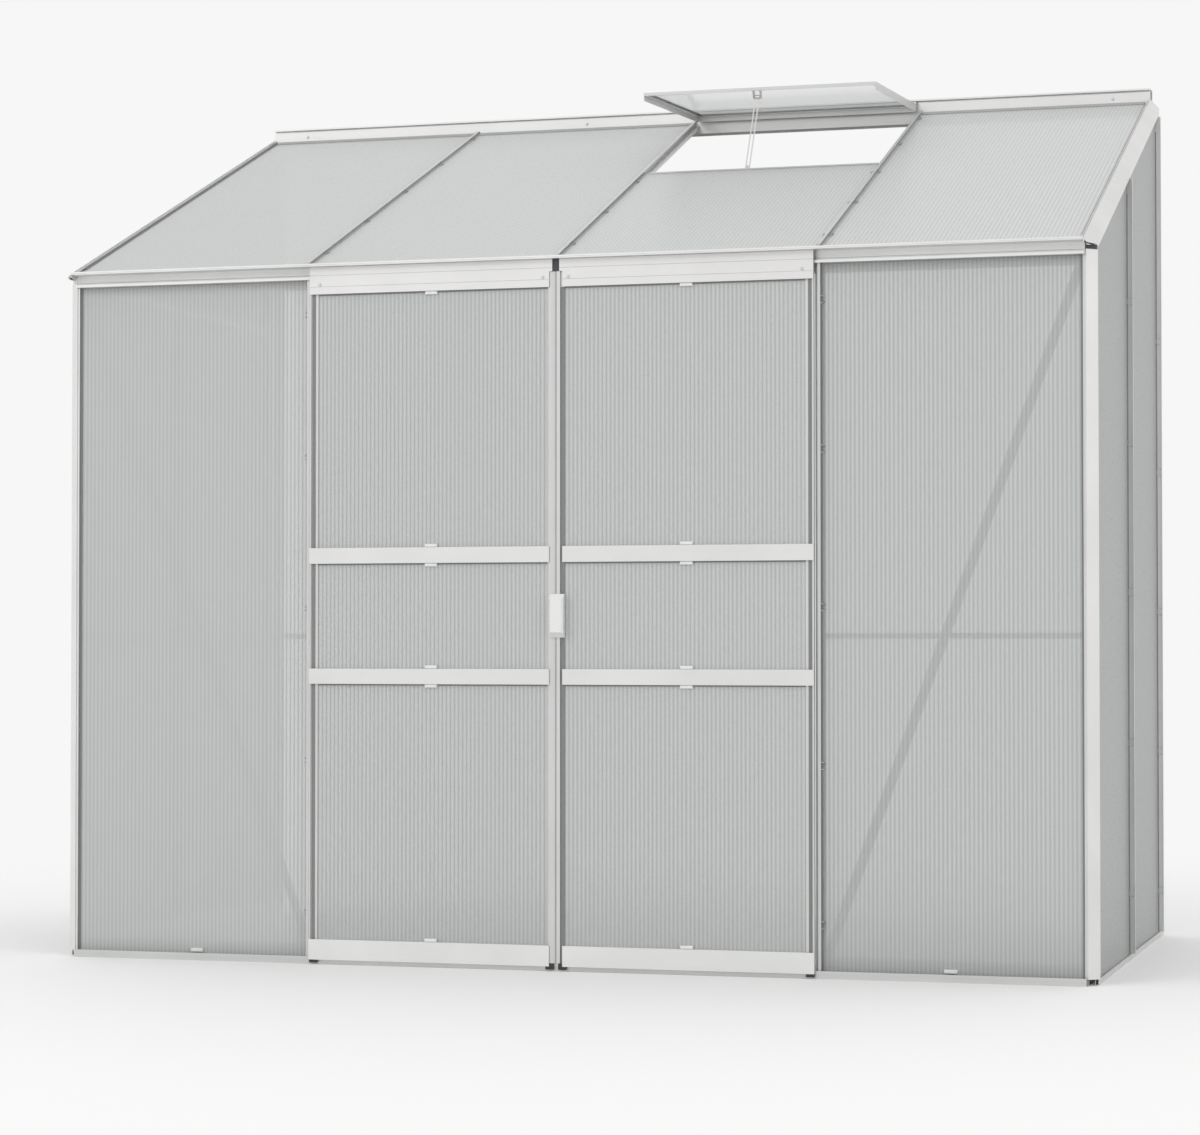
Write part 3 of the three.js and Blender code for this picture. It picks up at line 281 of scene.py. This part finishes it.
LINES_X = (3, 700, 700)
LINES_Y = (700, 3, 700)
LINES_Z = (700, 700, 3)
# One aluminium in three tones, set part by part to paint the light and shade each part shows: the
# grey tone for shaded parts, the paler two as painted light.
GREY, GREY_ROUGH = (0.635, 0.637, 0.63), 0.42
PAINTED_LIGHT_TONE, PALE_ROUGH = (0.735, 0.73, 0.72), 0.4
STRONGER_PAINTED_LIGHT_TONE, LIGHT_ROUGH = (0.79, 0.79, 0.78), 0.42
alu_x = aluminium("aluminium_lengthways", GREY, GREY_ROUGH, LINES_X)
alu_y = aluminium("aluminium_crossways", GREY, GREY_ROUGH, LINES_Y)
alu_z = aluminium("aluminium_upright", GREY, GREY_ROUGH, LINES_Z)
alu_painted_light_x = aluminium("aluminium_painted_light_lengthways", PAINTED_LIGHT_TONE, PALE_ROUGH, LINES_X)
alu_painted_light_y = aluminium("aluminium_painted_light_crossways", PAINTED_LIGHT_TONE, PALE_ROUGH, LINES_Y)
alu_painted_light_z = aluminium("aluminium_painted_light_upright", PAINTED_LIGHT_TONE, PALE_ROUGH, LINES_Z)
alu_stronger_painted_light_x = aluminium("aluminium_stronger_painted_light_lengthways", STRONGER_PAINTED_LIGHT_TONE, LIGHT_ROUGH, LINES_X)
alu_stronger_painted_light_z = aluminium("aluminium_stronger_painted_light_upright", STRONGER_PAINTED_LIGHT_TONE, LIGHT_ROUGH, LINES_Z)

# A wave texture of scale one repeats after this many millimetres
WAVE_PERIOD = 100 * math.pi
STRIPE_DARK = 0.83
SHEET_CLOUD, SHEET_CLOUD_DETAIL = 2.2, 5.0
SHEET_GRAIN, SHEET_GRAIN_DETAIL, SHEET_SWING = 260.0, 2.0, 0.06
SHEET_WAVINESS, SHEET_WAVE_DEPTH = 0.15, 0.004


def sheet_material(name, color, alpha, rough, direction="X"):
    """A pane: its channels show as soft stripes, one for each rib."""
    material, tree, shader = new_material(name, color, rough, alpha=alpha)
    cloud = noise(tree, SHEET_CLOUD, SHEET_CLOUD_DETAIL)
    coords = tree.nodes.new("ShaderNodeTexCoord")
    wave = tree.nodes.new("ShaderNodeTexWave")
    wave.bands_direction = direction
    wave.inputs["Scale"].default_value = WAVE_PERIOD / RIB_PITCH
    link(tree, coords, "Object", wave, "Vector")
    vary_colour(tree, shader, wave, color, STRIPE_DARK, 0, 1)
    fine = noise(tree, SHEET_GRAIN, SHEET_GRAIN_DETAIL)
    vary_roughness(tree, shader, fine, rough - SHEET_SWING, rough + SHEET_SWING)
    bump(tree, shader, cloud, SHEET_WAVINESS, SHEET_WAVE_DEPTH)
    return material


SKIN_ROUGH = 0.32
# All the sheets are one twin-wall. The left front pane and the roof get lighter copies as painted
# light, and the gables a darker copy as painted shade.
front_skin = sheet_material("twin_wall_skin", (0.525, 0.54, 0.531), 0.66, SKIN_ROUGH)
left_skin_painted_light = sheet_material("twin_wall_left_skin_painted_light", (0.61, 0.627, 0.617), 0.66, SKIN_ROUGH)
roof_skin_painted_light = sheet_material("twin_wall_roof_skin_painted_light", (0.63, 0.643, 0.633), 0.75, SKIN_ROUGH)
gable_skin_painted_shade = sheet_material("twin_wall_gable_skin_painted_shade", (0.41, 0.422, 0.415), 0.74, SKIN_ROUGH, "Y")
twin_rib = sheet_material("twin_wall_rib", (0.47, 0.484, 0.475), 1.0, 0.5, "Z")
clear_sheet = sheet_material("clear_sheet", (0.5, 0.55, 0.54), 0.3, 0.08)

PLAIN_DARK = 0.88
PLAIN_SMOOTHER, PLAIN_ROUGHER = 0.05, 0.08
GRAIN_STRENGTH, GRAIN_DEPTH = 0.2, 0.0003


def plain_material(name, color, rough, metallic=0.0, grain=300.0):
    material, tree, shader = new_material(name, color, rough, metallic)
    fine = noise(tree, grain)
    vary_colour(tree, shader, fine, color, PLAIN_DARK)
    vary_roughness(tree, shader, fine, rough - PLAIN_SMOOTHER, rough + PLAIN_ROUGHER)
    bump(tree, shader, fine, GRAIN_STRENGTH, GRAIN_DEPTH)
    return material


rubber = plain_material("black_rubber", (0.055, 0.057, 0.06), 0.6)
seal = plain_material("grey_seal", (0.2, 0.202, 0.205), 0.6)
roof_seal = plain_material("light_grey_seal", (0.36, 0.363, 0.365), 0.6)
brush = plain_material("brush_fibre", (0.04, 0.04, 0.045), 0.9, grain=1500.0)
black_plastic = plain_material("black_plastic", (0.03, 0.03, 0.034), 0.42)
white_plastic = plain_material("white_plastic", (0.74, 0.74, 0.725), 0.4)
zinc = plain_material("zinc_steel", (0.62, 0.63, 0.64), 0.3, 1.0, 500.0)

# Metal, plastic and the clear pane, which are shown straight from the CAD. Each metal part takes
# the aluminium tone that paints the light or shade it shows.
SHOWN = {
    "front_sill": alu_x, "left_sill": alu_y, "right_sill": alu_y,
    "left_corner_post": alu_stronger_painted_light_z, "right_corner_post": alu_painted_light_z,
    "left_jamb": alu_z, "right_jamb": alu_z,
    "left_gable_post": alu_z, "right_gable_post": alu_z,
    "left_wall_post": alu_stronger_painted_light_z, "right_wall_post": alu_stronger_painted_light_z,
    "eaves_gutter": alu_stronger_painted_light_x, "ridge_rail": alu_painted_light_x, "vent_sill": alu_x,
    "left_end_rafter": alu_painted_light_y, "right_end_rafter": alu_painted_light_y,
    "left_rafter": alu_y, "middle_rafter": alu_y, "right_rafter": alu_y,
    "left_tie": alu_y, "right_tie": alu_y, "left_brace": alu_z, "right_brace": alu_stronger_painted_light_z,
    "vent_frame": alu_x, "vent_pane": clear_sheet, "vent_stay": alu_painted_light_z,
    "door_handle": white_plastic,
}
for word, _ in SIDES:
    for rail in ("lower", "upper", "top"):
        SHOWN[f"{word}_door_{rail}_rail"] = alu_painted_light_x
    SHOWN[f"{word}_door_bottom_rail"] = alu_stronger_painted_light_x
    for stile, roller in (("meeting", "inner"), ("outer", "outer")):
        SHOWN[f"{word}_door_{stile}_stile"] = alu_z
        SHOWN[f"{word}_door_{roller}_roller"] = black_plastic
for name, material in SHOWN.items():
    nodes[name].data.materials.clear()
    nodes[name].data.materials.append(material)

# Twin-wall panes


def twin_wall(node, body, skin, origin, across, ribs, out, width, top):
    """A hollow sheet: a skin all round and a rib every few millimetres.
    top gives its height at a place across it."""
    piece = Piece()
    outline = [(0, 0), (width, 0), (width, top(width)), (0, top(0))]
    piece.prism(outline, origin, across, ribs, out * -SHEET)
    half = RIB_WIDTH / 2
    start = (origin - Vector((0, DEPTH_SHIFT, 0))).dot(across)
    u = math.ceil((start + RIB_ROOM) / RIB_PITCH) * RIB_PITCH - start
    while u < width - RIB_ROOM:
        low, high = SKIN_ROOM, top(u) - RIB_ROOM
        rib = [(u - half, low), (u + half, low), (u + half, high), (u - half, high)]
        piece.prism(rib, origin - out * SKIN_ROOM, across, ribs, out * (2 * SKIN_ROOM - SHEET), 1)
        u += RIB_PITCH
    obj = piece.make(node + "_sheet", body, [skin, twin_rib])
    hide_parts(node)


def mm_box(node):
    low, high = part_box(node)
    shift = Vector((0, DEPTH_SHIFT, 0))
    return low * 1000 + shift, high * 1000 + shift


def upright_pane(node, body, skin):
    low, high = mm_box(node)
    twin_wall(node, body, skin, low, X, Z, -Y, high.x - low.x, lambda u: high.z - low.z)


GABLE_TOP_DROP = 15.9
ROOF_PANE_Y = -14.0


def gable_pane(node, side):
    low, high = mm_box(node)
    origin = Vector((high.x if side > 0 else low.x, low.y, low.z))

    def top(u):
        return EAVES_Z + ((low.y + u) * SIN - GABLE_TOP_DROP) / COS - low.z

    twin_wall(node, "frame", gable_skin_painted_shade, origin, Y, Z, X * side, high.y - low.y, top)


def roof_pane(node):
    low, high = mm_box(node)
    length = (high.y - ROOF_PANE_Y) / COS - SHEET * SIN / COS
    twin_wall(node, "frame", roof_skin_painted_light, roof_point(low.x, ROOF_PANE_Y), X, UP_ROOF, OUT_ROOF,
              high.x - low.x, lambda u: length)


# The left front pane takes the lighter sheet, painted light from the left.
for word, side in SIDES:
    upright_pane(f"{word}_front_pane", "frame", left_skin_painted_light if side < 0 else front_skin)
    for part in ("low", "middle", "high"):
        upright_pane(f"{word}_door_{part}_pane", f"{word}_door", front_skin)
    for part in ("front", "rear"):
        gable_pane(f"{word}_gable_pane_{part}", side)
for number in (1, 2, 3, 4):
    roof_pane(f"roof_pane_{number}")

# Gaskets beside the fins. The outlines run away from the fin and out of the pane.
BAR_GASKET = [(1.3, -3.9), (4.7, -3.9), (4.7, 0.15), (6.0, 0.15), (5.4, 1.4), (1.3, 2.2)]
CORNER_GASKET = [(0.3, -3.9), (3.7, -3.9), (3.7, 0.2), (11.6, 0.2), (11.2, 1.9), (3.4, 2.6),
                 (0.3, 2.6)]
GASKET_Z = 16.0
FRONT_GASKET, CORNER_GASKET_LENGTH = 1602.0, 1604.0
GABLE_GASKETS = ((BAY, -1, 1840), (BAY, 1, 1845), (2 * BAY, -1, 2085))
ROOF_GASKET_Y = (-10.0, 1259.0)
VENT_GASKET_END_Y = 742.0
BESIDE_VENT = ((0.0, 1), (BAY, -1))
CORNER_EDGE = 1224.2
END_GASKET_Y = (20.0, 1256.0)

gaskets = Piece()
for x in (-BAY, 0.0, BAY):
    for side in (-1, 1):
        start = ROOF_GASKET_Y[0]
        end = VENT_GASKET_END_Y if (x, side) in BESIDE_VENT else ROOF_GASKET_Y[1]
        run = UP_ROOF * ((end - start) / COS)
        gaskets.prism(BAR_GASKET, roof_point(x, start), X * side, OUT_ROOF, run, 1)
for side in (-1, 1):
    gaskets.prism(BAR_GASKET, Vector((side * BAY, 0, GASKET_Z)), X * side, -Y, Z * FRONT_GASKET)
    for y, way, top in GABLE_GASKETS:
        origin = Vector((side * HALF, y, GASKET_Z))
        gaskets.prism(BAR_GASKET, origin, Y * way, X * side, Z * (top - GASKET_Z))
    edge = side * CORNER_EDGE
    run = Z * CORNER_GASKET_LENGTH
    gaskets.prism(CORNER_GASKET, Vector((edge, 0, GASKET_Z)), -X * side, -Y, run)
    start, end = END_GASKET_Y
    run = UP_ROOF * ((end - start) / COS)
    gaskets.prism(CORNER_GASKET, roof_point(edge, start), -X * side, OUT_ROOF, run)
gaskets.make("gaskets", "frame", [seal, roof_seal])

# The seal along the ridge, the plugs between the posts and the end rafters, and a black
# rubber block between the two doors' top rails, painted shade for the dark gap behind them
RIDGE_SEAL = [(0, 0.2), (14.5, 0.2), (14.5, 4.2), (11.0, 4.2), (0, 1.6)]
RIDGE_SEAL_Y = 1247.8
RIDGE_SEAL_SPANS = ((-1211, -627), (-613, -7), (627, 1211))
PLUG = [(-16, 6.5), (-14, 6.5), (6.5, -14), (6.5, -22), (2, -22), (-16, -4)]
PLUG_Z, PLUG_HEIGHT = 1634.2, 9.6
GAP_SHADE_BLOCK_X = (-9, 9)
GAP_SHADE_BLOCK_HEAD = ((-26.6, -21.0), (1622, 1649.6))
GAP_SHADE_BLOCK_FOOT = ((-21.0, -8.2), (1628.3, 1649.6))

seals = Piece()
for x0, x1 in RIDGE_SEAL_SPANS:
    seals.prism(RIDGE_SEAL, roof_point(x0, RIDGE_SEAL_Y), UP_ROOF, OUT_ROOF, X * (x1 - x0), 1)
for side in (-1, 1):
    plan = [(side * (HALF + p), -q) for p, q in PLUG]
    seals.prism(plan, Vector((0, 0, PLUG_Z)), X, Y, Z * PLUG_HEIGHT, 0 if side > 0 else 2)
# A black block in the gap between the top rails, painted shade.
seals.box(GAP_SHADE_BLOCK_X, *GAP_SHADE_BLOCK_HEAD)
seals.box(GAP_SHADE_BLOCK_X, *GAP_SHADE_BLOCK_FOOT)
seals.make("seals", "frame", [rubber, roof_seal, white_plastic])

# Small parts of the doors. Distances across a door are from the middle of the front.
SCREW_HEAD = [(1, -0.2), (1, 0.5), (0.86, 1.3), (0.5, 1.9), (0, 2.1)]
SCREW_STEPS = 20
RAIL_FACE, PANE_FACE = -29.0, -21.0
TOUCH = 0.05
OUTER_STRIP, INNER_STRIP = (597.5, 605.5), (10.2, 20.8)
STRIP_Y, STRIP_Z = (-23.9, -22.9), (18.5, 1585.0)
# Dark strips just under each rail paint the shadow that the rail casts on the pane.
RAIL_SHADOW_STRIP_X, RAIL_SHADOW_STRIP_Y = (21.4, 590.6), (-23.2, PANE_FACE - TOUCH)
RAIL_SHADOW_STRIP_DROP = (3.4, 0.2)
RAIL_LOWS = (662.0, 946.0, 1585.5)
RAIL_HIGHS = (59.0, 698.0, 983.0)
CLIP_X = {-1: -307.0, 1: 312.0}
CLIP_HEAD_X, CLIP_HEAD_Y, CLIP_HEAD_Z, CLIP_EDGE = 15, (-27.0, -23.3), (0.3, 8.0), 1.2
CLIP_FOOT_X, CLIP_FOOT_Y, CLIP_FOOT_Z = 13, (-23.3, PANE_FACE - TOUCH), (3.6, 8.0)
RAIL_SCREWS_X, RAIL_SCREW_Z, RAIL_SCREW_RADIUS = (31.0, 585.0), 1608.0, 3.8
GLIDES_X, GLIDE_HALF, GLIDE_Z, GLIDE_EDGE = (15.5, 600.5), 10, (3.5, 17.9), 1.0
GLIDE_FRONT_Y, GLIDE_BACK_Y = (-27.3, -21.8), (-18.2, -15.4)
GLIDE_BRIDGE_Y, GLIDE_BRIDGE_Z = (-26.2, -15.4), (17.65, 18.2)
BRUSH_X, BRUSH_Y, BRUSH_Z = (-0.9, 0.2), (-23.5, -17.0), (19, 1620)


def screw(piece, centre, axis, radius):
    profile = [(radius * share, along) for share, along in SCREW_HEAD]
    piece.turned(profile, centre, axis, SCREW_STEPS)


def on_side(side, span):
    return tuple(sorted(side * x for x in span))


for word, side in SIDES:
    body = f"{word}_door"
    strips = Piece()
    for span in (OUTER_STRIP,) if side < 0 else (OUTER_STRIP, INNER_STRIP):
        strips.box(on_side(side, span), STRIP_Y, STRIP_Z)
    # Painted shadow: a dark strip under each rail.
    for z in RAIL_LOWS:
        span = [z - drop for drop in RAIL_SHADOW_STRIP_DROP]
        strips.box(on_side(side, RAIL_SHADOW_STRIP_X), RAIL_SHADOW_STRIP_Y, span)
    strips.make(f"{body}_gaskets_and_rail_shadow_strips", body, [seal])

    clips = Piece()
    x = CLIP_X[side]
    for z, way in sorted([(z, -1) for z in RAIL_LOWS] + [(z, 1) for z in RAIL_HIGHS]):
        head, foot = (sorted(z + way * h for h in span) for span in (CLIP_HEAD_Z, CLIP_FOOT_Z))
        clips.bevel_box((x - CLIP_HEAD_X, x + CLIP_HEAD_X), CLIP_HEAD_Y, head, CLIP_EDGE)
        clips.box((x - CLIP_FOOT_X, x + CLIP_FOOT_X), CLIP_FOOT_Y, foot)
    clips.make(f"{body}_clips", body, [white_plastic])

    screws = Piece()
    for x in RAIL_SCREWS_X:
        screw(screws, Vector((side * x, RAIL_FACE, RAIL_SCREW_Z)), -Y, RAIL_SCREW_RADIUS)
    screws.make(f"{body}_screws", body, [zinc])

    glides = Piece()
    for middle in GLIDES_X:
        span = (side * middle - GLIDE_HALF, side * middle + GLIDE_HALF)
        glides.bevel_box(span, GLIDE_FRONT_Y, GLIDE_Z, GLIDE_EDGE)
        glides.box(span, GLIDE_BACK_Y, GLIDE_Z)
        glides.box(span, GLIDE_BRIDGE_Y, GLIDE_BRIDGE_Z)
    glides.make(f"{body}_glides", body, [black_plastic])

strip = Piece()
strip.box(BRUSH_X, BRUSH_Y, BRUSH_Z)
strip.make("meeting_brush", "left_door", [brush])

# Thin rails half way up the fixed panes
HALF_WAY = [(0, 0), (15, 0), (15, 1.5), (1.5, 1.5), (1.5, 13), (0, 13)]
HALF_WAY_Z = 768.0
FRONT_RAIL_X, FRONT_RAIL_Y, FRONT_RAIL = 612, 20.2, 606
GABLE_RAIL_X, GABLE_RAIL_Y, GABLE_RAIL = 1223.2, 32, 1194

mid = Piece()
for side in (-1, 1):
    flipped = [(-u, v) for u, v in HALF_WAY]
    origin = Vector((side * FRONT_RAIL_X, FRONT_RAIL_Y, HALF_WAY_Z))
    mid.prism(flipped, origin, -Y, Z, X * side * FRONT_RAIL)
    origin = Vector((side * GABLE_RAIL_X, GABLE_RAIL_Y, HALF_WAY_Z))
    mid.prism(HALF_WAY, origin, -X * side, Z, Y * GABLE_RAIL)
mid.make("half_way_rails", "frame", [alu_stronger_painted_light_x])

# Clips under the fixed front panes
PANE_CLIPS_X = (-907.0, 917.0)
PANE_CLIP_Y, PANE_CLIP_Z = (-5.0, -0.05), (18.5, 27.0)

clips = Piece()
for x in PANE_CLIPS_X:
    clips.bevel_box((x - CLIP_HEAD_X, x + CLIP_HEAD_X), PANE_CLIP_Y, PANE_CLIP_Z, CLIP_EDGE)
clips.make("pane_clips", "frame", [white_plastic])

# Wire clips beside the bars: distance from the bar, share of the height, and place along it
WIRE_CLIP = [(1.2, 1.0, -9), (6.0, 0.6, -8), (12.5, 0, -5), (6.5, 0, 0),
             (12.5, 0, 5), (6.0, 0.6, 8), (1.2, 1.0, 9)]
WIRE_RADIUS, WIRE_STEPS, WIRE_LIFT = 0.8, 6, 1.0
TALL_CLIP, LOW_CLIP = 10.2, 4.1
ROOF_CLIPS_Y = (90, 370, 650, 930, 1200)
WALL_CLIPS_Z = (120, 480, 840, 1200, 1540)
GABLE_CLIP_STAGGER = 40

wires = Piece()


def wire_clip(origin, across, out, along, high=TALL_CLIP, slot=0):
    path = [origin + across * u + out * (WIRE_LIFT + v * high) + along * w
            for u, v, w in WIRE_CLIP]
    wires.wire(path, WIRE_RADIUS, WIRE_STEPS, slot)


for x in (-BAY, 0.0, BAY):
    for side in (-1, 1):
        end = VENT_GASKET_END_Y if (x, side) in BESIDE_VENT else ROOF_GASKET_Y[1]
        for y in ROOF_CLIPS_Y:
            if y < end:
                wire_clip(roof_point(x, y), X * side, OUT_ROOF, UP_ROOF, LOW_CLIP, 1)
for side in (-1, 1):
    for z in WALL_CLIPS_Z:
        wire_clip(Vector((side * BAY, 0, z)), X * side, -Y, Z)
        wire_clip(Vector((side * HALF, BAY, z)), Y, X * side, Z)
        wire_clip(Vector((side * HALF, BAY, z + GABLE_CLIP_STAGGER)), -Y, X * side, Z)
        wire_clip(Vector((side * HALF, 2 * BAY, z)), -Y, X * side, Z)
wires.make("wire_clips", "frame", [zinc, roof_seal])

# Bolts, nuts and screws of the frame. A nut is a washer, a hexagon and the bolt's end.
NUT = (([(6.2, 0), (6.2, 0.8), (0, 0.8)], 24),
       ([(5.0, 0.7), (5.0, 4.6), (4.4, 5.0), (0, 5.0)], 6),
       ([(2.9, 4.9), (2.9, 8.5), (2.2, 9.0), (0, 9.0)], 16))
JAMB_NUT_Y, JAMB_NUTS_Z = 18.3, (1618, 36)
BRACE_NUT_Y, BRACE_NUTS = 20.0, ((1208, 1598), (636, 56))
GABLE_NUT_X, GABLE_NUTS_Y, GABLE_NUTS_Z = 1221.8, (BAY, 1216.0), (1631, 34)
RIDGE_SCREWS_X, RIDGE_SCREW_Y, RIDGE_SCREW_Z = (-1125.0, -306.0, 306.0, 1128.0), 1262.0, 2181.0
RIDGE_SCREW_RADIUS = 4.0
SILL_NUTS_X, SILL_NUT_Y, SILL_NUT_Z = (-1050, -310, 310, 1050), 10.5, 1.5
STAY_X, PIN_REACH, PIN_Y, PIN_Z, PIN_RADIUS = 303, 10.0, 720.6, 2136.9, 4.5

bolts = Piece()


def nut(centre, axis):
    for profile, steps in NUT:
        bolts.turned(profile, centre, axis, steps)


for side in (-1, 1):
    for z in JAMB_NUTS_Z:
        nut(Vector((side * BAY, JAMB_NUT_Y, z)), Y)
    for x, z in BRACE_NUTS:
        nut(Vector((side * x, BRACE_NUT_Y, z)), Y)
    for y in GABLE_NUTS_Y:
        for z in GABLE_NUTS_Z:
            nut(Vector((side * GABLE_NUT_X, y, z)), -X * side)
for x in RIDGE_SCREWS_X:
    screw(bolts, Vector((x, RIDGE_SCREW_Y, RIDGE_SCREW_Z)), -Y, RIDGE_SCREW_RADIUS)
for x in SILL_NUTS_X:
    nut(Vector((x, SILL_NUT_Y, SILL_NUT_Z)), Z)
bolts.make("frame_bolts", "frame", [zinc])

knob = Piece()
for side in (-1, 1):
    screw(knob, Vector((STAY_X + side * PIN_REACH, PIN_Y, PIN_Z)), X * side, PIN_RADIUS)
knob.make("stay_pin_heads", "vent", [alu_painted_light_x])

# The floor takes a shadow near the object and fades to the backdrop's white
scene = bpy.context.scene
floor_mesh = bpy.data.meshes.new("floor")
turns = [2 * math.pi * k / FLOOR_STEPS for k in range(FLOOR_STEPS)]
ring = [(FLOOR_RADIUS * math.cos(t), FLOOR_RADIUS * math.sin(t), 0.0) for t in turns]
floor_mesh.from_pydata(ring, [], [list(range(FLOOR_STEPS))])
floor = bpy.data.objects.new("floor", floor_mesh)
scene.collection.objects.link(floor)
material, tree, shader = new_material("floor", FLOOR_COLOUR, FLOOR_ROUGH)
coords = tree.nodes.new("ShaderNodeTexCoord")
length = tree.nodes.new("ShaderNodeVectorMath")
length.operation = "LENGTH"
link(tree, coords, "Object", length, 0)
fade = tree.nodes.new("ShaderNodeMapRange")
fade.interpolation_type = "SMOOTHSTEP"
fade.inputs["From Min"].default_value = FADE_FROM
fade.inputs["From Max"].default_value = FADE_TO
link(tree, length, "Value", fade, "Value")
glow = tree.nodes.new("ShaderNodeEmission")
glow.inputs["Color"].default_value = WHITE
mix = tree.nodes.new("ShaderNodeMixShader")
link(tree, fade, "Result", mix, 0)
link(tree, shader, 0, mix, 1)
link(tree, glow, 0, mix, 2)
link(tree, mix, 0, tree.nodes["Material Output"], "Surface")
floor_mesh.materials.append(material)

# The sky lights the object, and the camera, gloss and clear panes see plain white
world = bpy.data.worlds.new("studio")
scene.world = world
world.use_nodes = True
tree = world.node_tree
light = tree.nodes["Background"]
light.inputs["Color"].default_value = SKY_COLOUR
light.inputs["Strength"].default_value = SKY
seen = tree.nodes.new("ShaderNodeBackground")
seen.inputs["Color"].default_value = WHITE
path = tree.nodes.new("ShaderNodeLightPath")
ray = path.outputs["Is Camera Ray"]
for kind in ("Is Glossy Ray", "Is Transmission Ray"):
    either = tree.nodes.new("ShaderNodeMath")
    either.operation = "MAXIMUM"
    tree.links.new(ray, either.inputs[0])
    tree.links.new(path.outputs[kind], either.inputs[1])
    ray = either.outputs[0]
mix = tree.nodes.new("ShaderNodeMixShader")
tree.links.new(ray, mix.inputs[0])
link(tree, light, 0, mix, 1)
link(tree, seen, 0, mix, 2)
link(tree, mix, 0, tree.nodes["World Output"], "Surface")


def area(name, at, size, power):
    lamp = bpy.data.lights.new(name, "AREA")
    lamp.shape = "RECTANGLE"
    lamp.size, lamp.size_y = size
    lamp.energy = power
    obj = bpy.data.objects.new(name, lamp)
    obj.location = at
    obj.rotation_euler = (Vector(LIT_POINT) - Vector(at)).to_track_quat("-Z", "Y").to_euler()
    scene.collection.objects.link(obj)


area("key", KEY_AT, KEY_SIZE, KEY_POWER)
area("fill", FILL_AT, FILL_SIZE, FILL_POWER)

lens = bpy.data.cameras.new("camera")
lens.sensor_fit = "HORIZONTAL"
lens.sensor_width = CAMERA_SENSOR
lens.lens = CAMERA_LENS
lens.clip_end = CAMERA_REACH
camera = bpy.data.objects.new("camera", lens)
camera.location = CAMERA_AT
camera.rotation_euler = (math.radians(90) + CAMERA_TILT, 0, CAMERA_TURN)
scene.collection.objects.link(camera)
scene.camera = camera
scene.view_settings.view_transform = "Standard"
